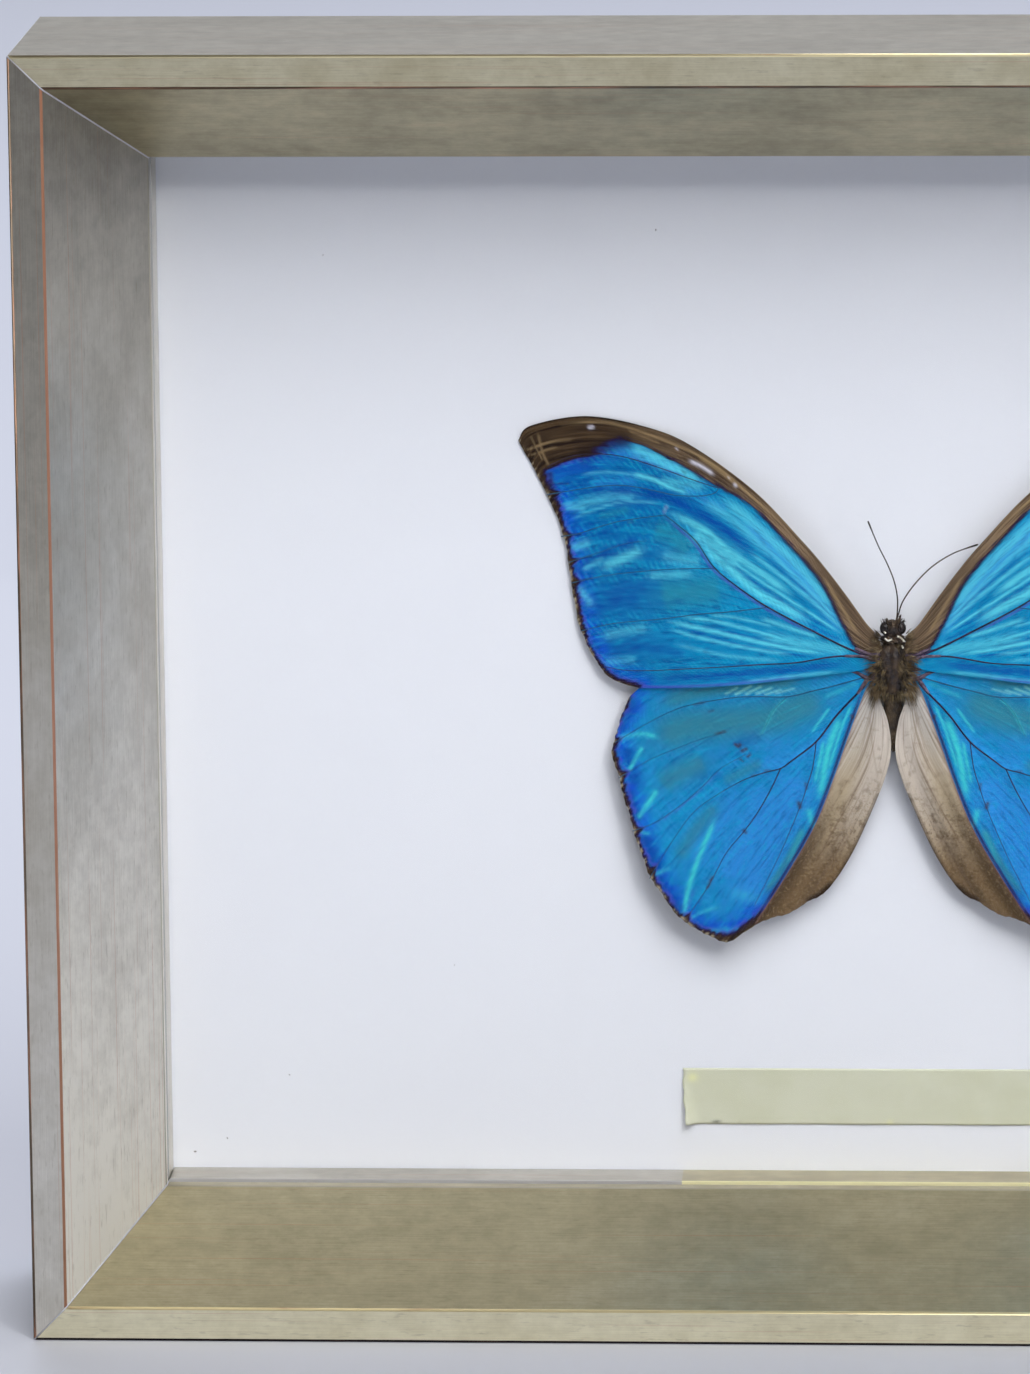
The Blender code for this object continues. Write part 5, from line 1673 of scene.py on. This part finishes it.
def brown_tone(finish, look, costal):
    """Lay the browns of the border; the forewing's front edge has a lighter band."""
    coats = [(finish.between(finish.streaky, 0.35, 0.7), BORDER_WARM)]
    if costal:
        band = finish.blend(finish.between(finish.streaky, 0.36, 0.64), COSTA_DARK, COSTA_LIGHT)
        coats.append((finish.layer("costal"), band))
    coats.append((finish.times(finish.layer("gold"), look["gold"]), GOLD))
    coats.append((finish.times(finish.layer("dusk"), 0.85), BORDER_DARK))
    return finish.lay(BORDER_DARK, coats)


def flap_tone(finish, depth, down):
    """Lay the browns of the folded margin, which are pale above and dark and scaly below."""
    grain, blotch = finish.grain, finish.blotch
    streak = finish.rays((26, 1100, 1), 4.0, 0.65)
    scaly = finish.between(down, 0.30, 0.70)
    shaded = finish.times(finish.between(depth, 3.2, 0.6), finish.between(down, 0.35, 0.85))
    turned = finish.times(finish.between(depth, 2.4, 6.0), finish.between(down, 0.85, 0.40))
    upper = finish.between(down, 0.55, 0.25)
    return finish.lay((0.49, 0.455, 0.415), [
        (finish.between(down, 0.05, 0.50), (0.42, 0.335, 0.225)),
        (finish.between(down, 0.44, 0.92), (0.165, 0.105, 0.052)),
        (shaded, (0.070, 0.042, 0.022)),
        (finish.times(turned, 0.7), (0.58, 0.51, 0.45)),
        (finish.between(streak, 0.47, 0.68, 0.0, 0.75), (0.17, 0.115, 0.075)),
        (finish.times(finish.between(streak, 0.46, 0.28, 0.0, 0.65), upper), (0.66, 0.61, 0.56)),
        (finish.times(finish.layer("gold"), 0.5), (0.20, 0.14, 0.10)),
        (finish.between(blotch, 0.52, 0.72, 0.0, 0.35), (0.17, 0.12, 0.075)),
        (finish.times(finish.between(blotch, 0.48, 0.62, 0.0, 0.5), scaly), (0.100, 0.062, 0.028)),
        (finish.times(finish.between(grain, 0.52, 0.66, 0.0, 0.6), scaly), (0.10, 0.062, 0.030)),
        (finish.times(finish.between(grain, 0.46, 0.34, 0.0, 0.5), scaly), (0.40, 0.30, 0.17)),
        (finish.between(depth, 0.6, 0.1, 0.0, 0.6), (0.20, 0.10, 0.10)),
        (finish.between(finish.layer("edge"), 1.3, 0.2, 0.0, 0.85), BORDER_DARK),
    ])


def wing_finish(kind):
    """Make the finish of a wing's upper side."""
    finish, look = WingFinish(kind + "_scales"), LOOKS[kind]
    grain, hairs, dashes, blotch = finish.grain, finish.hairs, finish.dashes, finish.blotch
    wobble = finish.times(finish.sum("SUBTRACT", dashes, 0.5), 1.6)
    past = finish.sum("ADD", finish.layer("border"), wobble)
    rim = finish.broken("rim", blotch, 0.4, 0.6, 0.15, 0.70)
    tone = finish.lay(blue_tone(finish, look), [
        (finish.times(finish.between(past, -1.2, -0.4), rim), VIOLET),
        (finish.broken("dusk", dashes, 0.3, 0.6, 0.7, 1.0), DUSK),
        (finish.between(past, -0.6, 0.1), DUSK),
        (finish.between(past, 0.0, 0.55), brown_tone(finish, look, kind == "forewing")),
        (finish.broken("pale", hairs, 0.2, 0.6, 0.45, 1.0), look["pale"]),
        (finish.broken("fleck", grain, 0.2, 0.6, 0.5, 1.0), FLECK),
        (finish.broken("fringe", finish.streaky, 0.5, 0.62), FRINGE),
    ])
    metal = finish.between(past, -0.3, 0.2, 0.35, 0.0)
    if kind == "hindwing":
        depth, down = finish.layer("fold"), finish.layer("down")
        tone = finish.blend(finish.between(depth, 0.02, 0.22), tone, flap_tone(finish, depth, down))
        metal = finish.times(metal, finish.between(depth, 0.2, 0.02))
    relief = finish.relief(grain, 0.05 * MM, 0.35)
    relief = finish.relief(hairs, 0.10 * MM, 0.45, relief)
    relief = finish.relief(finish.combed, 0.10 * MM, 0.35, relief)
    rough = finish.between(grain, 0.2, 0.8, 0.38, 0.56)
    return finish.show(Base_Color=tone, Metallic=metal, Roughness=rough, Normal=relief)


def underside_finish():
    """The hidden side is brown with pale bands, like dead leaves."""
    finish = Finish("brown_underside", Roughness=0.7)
    bands = finish.noise(finish.stretched(finish.unwrapped("fan"), (120, 30, 1)), 1.0, 3.0, 0.6, 0.5)
    tone = finish.blend(finish.between(bands, 0.35, 0.65), (0.075, 0.045, 0.025), (0.24, 0.17, 0.10))
    grain = finish.noise(finish.place(), 3000.0)
    return finish.show(Base_Color=tone, Normal=finish.relief(grain, 0.03 * MM, 0.4))


scales = {kind: wing_finish(kind) for kind in LOOKS}
underside = underside_finish()
print("wing finishes:", [finish.name for finish in scales.values()], underside.name)


# %% Paint and place the wings
FAN_SIZE = (0.065, 0.036)
SKIN, LOW_PART, NOT_NEAR = 0.11 * MM, -24, 9.0


def paint_wing(piece, kind, flat, along, across):
    """Store a wing's painted layers, its distances and its own map, for its finish to read."""
    wing = WINGS[kind]
    layers = {layer: strokes(flat, routes) for layer, routes in wing["strokes"].items()}
    layers["vein"] = nearest_vein(flat, wing["veins"])
    layers["border"] = past_blue(flat, wing["blue"], wing["veins"], wing["lobes"])
    layers["fringe"] = ease(along, 0.990, 0.998)
    layers["rim"] = ease(layers["border"], -4.6, -0.8) * ease(along, 0.70, 0.92)
    layers["outer"] = ease(from_root(flat), 30, 46) * (kind == "forewing")
    if kind == "hindwing":
        layers["fold"] = fold_depth(flat)
        layers["down"] = np.clip((-flat[:, 1] - 6.0) / 38.0, 0, 1)
        inner_edge = np.where(flat[:, 1] < LOW_PART, reach(flat, HINDWING_INNER[4:])[0] + 0.5,
                              NOT_NEAR)
        layers["edge"] = np.minimum(reach(flat, HINDWING_MARGIN[:3])[0], inner_edge)
    else:
        layers["costal"] = ease(-along, -0.80, -0.55)
    for layer, values in layers.items():
        paint(piece, layer, values)
    fan = piece.data.uv_layers.new(name="fan")
    corners = np.empty(len(piece.data.loops), np.int32)
    piece.data.loops.foreach_get("vertex_index", corners)
    pair = (np.stack([along, across], axis=1) * FAN_SIZE)[corners]
    fan.data.foreach_set("uv", pair.astype(np.float32).ravel())


def add_wing(kind, word):
    """Add a wing: painted as a flat left wing, then mirrored if it is a right one."""
    mesh, flat, along, across = wing_grid(f"{kind}_{word}_scaled", WINGS[kind])
    for surface in (scales[kind], underside):
        mesh.materials.append(surface)
    piece = placed(f"{kind}_{word}_scaled", mesh)
    paint_wing(piece, kind, flat, along, across)
    if word == "right":
        mesh.transform(Matrix.Scale(-1, 4, (1, 0, 0)))
    bm = bmesh.new()
    bm.from_mesh(mesh)
    bmesh.ops.recalc_face_normals(bm, faces=bm.faces)
    if sum(face.normal.y * face.calc_area() for face in bm.faces) > 0:
        bmesh.ops.reverse_faces(bm, faces=bm.faces)
    bm.to_mesh(mesh)
    bm.free()
    mesh.shade_smooth()
    skin = piece.modifiers.new("skin", "SOLIDIFY")
    skin.thickness, skin.offset, skin.material_offset = SKIN, -1.0, 1
    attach(piece, "root")
    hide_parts(f"{kind}_{word}")
    return piece


for kind in WINGS:
    for word in ("left", "right"):
        wing = add_wing(kind, word)
        print(wing.name, len(wing.data.polygons), "faces before it gets its thickness")


# %% Veins as tubes on the wings
VEIN_STEPS, VEIN_SUNK = 6, 0.35


def vein_finish(name, dark, light):
    finish = Finish(name, Specular_IOR_Level=0.2)
    grain = finish.noise(finish.place(), 1600.0, 3.0, 0.6)
    return finish.show(Base_Color=finish.blend(finish.between(grain, 0.35, 0.7), dark, light),
                       Roughness=finish.between(grain, 0.2, 0.8, 0.4, 0.6))


bare_vein = vein_finish("bare_vein", (0.008, 0.005, 0.022), (0.040, 0.022, 0.075))
dusted_vein = vein_finish("dusted_vein", (0.006, 0.060, 0.140), (0.012, 0.100, 0.210))


def add_veins(kind, word, bare, sort, finish):
    """Add a wing's veins of one sort as a piece: tubes sunk a little into its skin."""
    side = -1 if word == "right" else 1
    routes = []
    for knots, start, end, is_bare in WINGS[kind]["veins"]:
        if is_bare != bare:
            continue
        spots = curve_through(knots, VEIN_STEPS)
        widths = np.linspace(start, end, len(spots))
        lifts = WINGS[kind]["height"](spots) - VEIN_SUNK * widths
        routes.append([((side * x * MM, BOARD_FACE - lift * MM, BODY_HEIGHT + z * MM), width)
                       for (x, z), lift, width in zip(spots, lifts, widths)])
    return tube_piece(f"{kind}_{word}_{sort}_veins", routes, MM, 1, finish)


for kind in WINGS:
    for word in ("left", "right"):
        for bare, sort, finish in ((True, "bare", bare_vein), (False, "dusted", dusted_vein)):
            print(add_veins(kind, word, bare, sort, finish).name)

# %% [markdown]
# ## Body
#
# The body is small, dark and shaggy: a barrel of a thorax, a short head with two big eyes
# and two pointed palps, and a thin dried abdomen that sinks between the folds of the
# hindwings. Each starts as a ball that is stretched and then roughened, because chitin
# dries with dents. The hair is modelled, since a fuzzy outline is what makes it an insect.

# %% Body shells
BODY_MIDDLE = Vector((0, BOARD_FACE, BODY_HEIGHT))


def on_body(x, z, lift):
    """Return the place of a spot given in millimetres about the thorax, off the board."""
    return BODY_MIDDLE + Vector((x, -lift, z)) * MM


BROAD_DENTS, FINE_DENTS, FINE_SHARE = 2.6, 7.0, 0.4
GROOVE_DEPTH, GROOVE_NARROW = 0.07, 6


def lump(name, middle, radii, dents, finish, stands_for=(), grooves=0.0, detail=5):
    """Add a ball stretched to radii in millimetres, dented by noise, with ring grooves."""
    bm = bmesh.new()
    bmesh.ops.create_icosphere(bm, subdivisions=detail, radius=1.0)
    for vert in bm.verts:
        dent = 1 + dents * noise.noise(vert.co * BROAD_DENTS + Vector((middle[0], 1.7, middle[1])))
        dent += FINE_SHARE * dents * noise.noise(vert.co * FINE_DENTS)
        if grooves:
            dent *= 1 - GROOVE_DEPTH * max(0.0, sin(vert.co.z * grooves)) ** GROOVE_NARROW
        x, y, z = (part * radius * dent for part, radius in zip(vert.co, radii))
        vert.co = on_body(middle[0] + x, middle[1] + z, middle[2] - y)
    smooth(bm)
    return new_piece(name, bm, [finish], stands_for)


def chitin_finish(name, dark, brown, dusty):
    finish = Finish(name, Specular_IOR_Level=0.35)
    place = finish.place()
    fine = finish.noise(place, 2600.0, 4.0, 0.65)
    broad = finish.noise(place, 480.0, 3.0, 0.6)
    tone = finish.blend(finish.between(broad, 0.35, 0.65), dark, brown)
    tone = finish.blend(finish.between(fine, 0.56, 0.74, 0.0, 0.7), tone, dusty)
    return finish.show(Base_Color=tone, Roughness=finish.between(fine, 0.2, 0.8, 0.30, 0.6),
                       Normal=finish.relief(fine, 0.12 * MM, 0.8))


def eye_finish():
    finish = Finish("dark_eye", Specular_IOR_Level=0.35)
    facets = finish.cells(finish.place(), 9000.0)
    tone = finish.blend(finish.noise(finish.place(), 900.0), (0.004, 0.003, 0.004),
                        (0.020, 0.012, 0.010))
    return finish.show(Base_Color=tone, Roughness=0.25, Normal=finish.relief(facets, 0.03 * MM, 0.6))


chitin = chitin_finish("dark_chitin", (0.008, 0.004, 0.005), (0.062, 0.036, 0.018),
                       (0.17, 0.115, 0.060))
brown_chitin = chitin_finish("brown_chitin", (0.018, 0.011, 0.007), (0.085, 0.056, 0.028),
                             (0.22, 0.16, 0.09))
eye = eye_finish()
lump("thorax_shell", (0.0, -1.6, 3.3), (2.75, 2.8, 5.4), 0.18, chitin, ["thorax"])
lump("head_shell", (0.0, 5.2, 3.9), (1.75, 1.7, 1.8), 0.14, chitin, ["head"])
lump("collar", (0.0, 3.6, 3.9), (2.1, 1.9, 0.8), 0.25, chitin)
lump("abdomen_shell", (0.0, -10.6, 1.75), (1.75, 1.3, 6.4), 0.12, brown_chitin, ["abdomen"],
     grooves=26.0)
for side, word in ((-1, "left"), (1, "right")):
    lump("eye_" + word, (side * 1.35, 5.6, 4.4), (0.95, 0.95, 1.15), 0.03, eye, detail=4)
print("body shells: 6")

# %% [markdown]
# ## Hair, palps and antennae
#
# Hair lies in tufts: short and swept back on the thorax, golden at its sides, longer in fans
# over the wing roots, and in a fringe where the abdomen begins. A tuft is ten or so thin
# tapering tubes that start close together and bend the same way. All of a coat's tubes are
# one curve object, made into one mesh. The draws come from a seeded generator, so the coat
# is the same each time.

# %% Coats of hair
def hair_finish(name, dark, middle, light):
    finish = Finish(name, Roughness=0.5, Specular_IOR_Level=0.25)
    tufts = finish.noise(finish.place(), 900.0, 3.0, 0.65)
    strands = finish.noise(finish.place(), 5200.0, 1.0)
    tone = finish.blend(finish.between(tufts, 0.38, 0.56), dark, middle)
    tone = finish.blend(finish.between(tufts, 0.56, 0.68), tone, light)
    return finish.show(Base_Color=finish.blend(finish.between(strands, 0.5, 0.8, 0.0, 0.5), tone, dark))


dark_hair = hair_finish("thorax_hair", (0.005, 0.003, 0.003), (0.028, 0.017, 0.009), (0.22, 0.15, 0.075))
tan_hair = hair_finish("root_hair", (0.030, 0.018, 0.008), (0.150, 0.100, 0.046), (0.42, 0.32, 0.18))
gold_hair = hair_finish("golden_hair", (0.070, 0.045, 0.016), (0.230, 0.165, 0.075), (0.50, 0.40, 0.24))
draws = np.random.default_rng(11)
THORAX_UP, THORAX_HALF, THORAX_LIFT = -1.6, 5.2, 3.3
HEAD_UP, HEAD_LIFT = 5.7, 3.9


def tuft(routes, root, outward, sweep, count, length, spread, radius=0.05):
    """Add the hairs of one tuft; root is (x, z, lift), outward and sweep are directions."""
    for _ in range(count):
        jitter = draws.normal(0, spread, 3)
        start = np.array(root) + draws.normal(0, 0.28, 3) * (1, 1, 0.6)
        reach_out = np.array(outward) + jitter
        reach_out /= np.linalg.norm(reach_out)
        size = length * draws.uniform(0.65, 1.25)
        middle = start + reach_out * size * 0.5
        tip = middle + (reach_out * 0.4 + np.array(sweep) * 0.6) * size * 0.55
        route = []
        for (x, z, lift), thickness in ((start, 1.0), (middle, 0.8), (tip, 0.15)):
            route.append((on_body(x, z, lift), thickness * radius))
        routes.append(route)


def coat(name, routes, finish):
    """Add a coat of the thinnest tubes as a piece of the body."""
    return tube_piece(name, routes, MM, 0, finish)


thorax_hairs = []
for number in range(96):
    turn = (-1) ** number * (1.5 - 1.1 * draws.uniform() ** 1.8)
    rise_share = draws.uniform(-0.98, 0.95)
    ring = (1 - rise_share ** 2) ** 0.5
    x, out = 2.35 * sin(turn) * ring, 2.6 * cos(turn) * ring
    root = (1.1 * x, THORAX_UP + THORAX_HALF * rise_share, THORAX_LIFT + out)
    outward = (0.8 * sin(turn), -0.25 + 0.35 * rise_share, 0.7 * cos(turn))
    tuft(thorax_hairs, root, outward, (0.25 * sin(turn), -0.9, 0.1), 13, 1.05, 0.20)
for _ in range(26):
    turn, share = draws.uniform(-1.6, 1.6), draws.uniform(-0.6, 0.9)
    root = (1.4 * sin(turn), HEAD_UP + 1.3 * share, HEAD_LIFT + 1.2 * cos(turn))
    tuft(thorax_hairs, root, (0.6 * sin(turn), 0.7, 0.5 * cos(turn)), (0.0, 0.6, 0.2), 10, 0.8, 0.25)
coat("thorax_coat", thorax_hairs, dark_hair)

golden_hairs = []
for number in range(46):
    turn, share = (-1) ** number * draws.uniform(0.45, 1.4), draws.uniform(-0.9, 0.9)
    ring = (1 - share ** 2) ** 0.5
    root = (2.6 * sin(turn) * ring, THORAX_UP + THORAX_HALF * share,
            THORAX_LIFT + 2.9 * cos(turn) * ring)
    tuft(golden_hairs, root, (0.7 * sin(turn), -0.5, 0.6 * cos(turn)),
         (0.2 * sin(turn), -0.9, 0.0), 7, 1.3, 0.14, 0.045)
for across in (-2.2, -1.5, -0.8, 0.0, 0.8, 1.5, 2.2):
    tuft(golden_hairs, (across, -5.9, 4.6), (across * 0.1, -1.0, 0.0), (0.0, -0.9, -0.2),
         14, 1.5, 0.16, 0.045)
coat("golden_coat", golden_hairs, gold_hair)

# Each fan over a wing root: its height, how far up it points, and its length.
ROOT_FANS = [(4.0, 0.8, 1.5), (3.0, 0.55, 2.0), (1.6, 0.15, 2.5), (0.4, 0.0, 2.7), (-0.8, -0.1, 2.5),
             (-2.0, -0.3, 2.7), (-3.4, -0.6, 2.7), (-4.6, -0.9, 2.4), (-5.6, -1.4, 2.2)]
root_hairs = []
for side in (-1, 1):
    for up, out, length in ROOT_FANS:
        for lift in (3.4, 4.2, 5.0):
            tuft(root_hairs, (side * 2.5, up, lift), (side, out, 0.15), (side * 0.5, out - 0.5, -0.1),
                 15, length, 0.26, 0.055)
for across in (-3.2, -2.4, -1.6, 1.6, 2.4, 3.2):
    tuft(root_hairs, (across, -5.7, 3.7), (across * 0.12, -1.0, 0.1), (0.0, -1.0, -0.1),
         15, 1.7, 0.16, 0.055)
for across in (-0.7, 0.0, 0.7):
    tuft(root_hairs, (across, -6.0, 3.4), (across * 0.1, -1.0, 0.0), (0.0, -0.8, -0.3),
         18, 2.0, 0.15, 0.05)
coat("wing_root_coat", root_hairs, tan_hair)
print("hairs:", len(thorax_hairs) + len(golden_hairs) + len(root_hairs))

# %% Wing roots, palps and antennae
# Each root: its knots on the right side, its radius at both ends, and the wing it lies on.
ROOTS = [
    ([(2.2, 0.9), (3.6, 0.8), (5.0, 1.3), (6.6, 2.0)], 0.44, 0.24, "forewing"),
    ([(2.2, 0.2), (3.6, 0.1), (5.4, 0.55), (8.4, 0.65)], 0.42, 0.22, "forewing"),
    ([(2.4, -2.6), (3.6, -3.0), (4.8, -4.1), (6.2, -6.2)], 0.50, 0.26, "hindwing"),
    ([(2.6, -3.2), (4.4, -3.5), (6.2, -2.6), (7.8, -2.2)], 0.62, 0.10, "hindwing"),
    ([(2.6, -1.4), (4.0, -1.9), (5.2, -1.8)], 0.50, 0.12, "hindwing"),
]
root_plate = vein_finish("root_plate", (0.050, 0.030, 0.055), (0.190, 0.140, 0.200))
roots = []
for side in (-1, 1):
    for knots, thick, thin, kind in ROOTS:
        spots = curve_through(knots, 5)
        lifts = WINGS[kind]["height"](spots * (-1.0, 1.0))
        widths = np.linspace(thick, thin, len(spots))
        roots.append([(on_body(side * x, z, lift + 0.10), width)
                      for (x, z), lift, width in zip(spots, lifts, widths)])
coat("wing_roots", roots, root_plate)

palps = []
for side, tip in ((-1, (-1.05, 7.5)), (1, (1.45, 8.1))):
    spots = curve_through([(side * 0.75, 5.9), (side * 1.0, 6.8), tip], 5)
    widths = 0.42 * (1 - np.linspace(0, 1, len(spots)) ** 1.6) + 0.04
    palps.append([(on_body(x, z, 4.7), width) for (x, z), width in zip(spots, widths)])
coat("palps", palps, chitin)

# Pale glints on the collar and the head are painted highlights, drawn as short pale tubes.
collar_glints = []
for knots in ([(-1.4, 4.1), (-0.8, 3.7), (-0.1, 4.0)], [(0.8, 4.5), (1.4, 4.2), (2.0, 3.5)],
              [(1.6, 2.8), (1.8, 2.3)], [(-1.5, 5.3), (-1.2, 5.0)]):
    collar_glints.append([(on_body(x, z, 6.35 - 0.12 * abs(x) ** 2), 0.17)
                          for x, z in curve_through(knots, 4)])
glint_colour = vein_finish("painted_glints", (0.45, 0.40, 0.30), (0.85, 0.82, 0.74))
coat("collar_painted_glints", collar_glints, glint_colour)

ANTENNAE = {
    "left": [(0.4, 6.5), (0.75, 8.1), (0.8, 11.2), (0.2, 14.3), (-1.0, 17.4), (-2.5, 20.5),
             (-4.3, 24.9)],
    "right": [(0.55, 6.5), (0.95, 8.1), (1.8, 10.6), (3.9, 13.7), (6.9, 16.8), (10.6, 19.2),
              (14.9, 20.8)],
}
ANTENNA_POINTS, SHAFT, SHAFT_TAPER, RING, CLUB = 110, 0.125, 0.03, 0.012, 0.055
for word, knots in ANTENNAE.items():
    spots = evenly(curve_through(knots, 16), ANTENNA_POINTS)
    route = []
    for number, (x, z) in enumerate(spots):
        share = number / (len(spots) - 1)
        width = SHAFT - SHAFT_TAPER * share + RING * (number % 2)
        width += CLUB * ease(np.array(share), 0.86, 0.97)
        route.append((on_body(x, z, 4.9 + 0.9 * sin(share * 1.5)), width))
    tube_piece(f"antenna_{word}_ringed", [route], MM, 2, chitin, ["antenna_" + word])
print("antennae:", list(ANTENNAE))
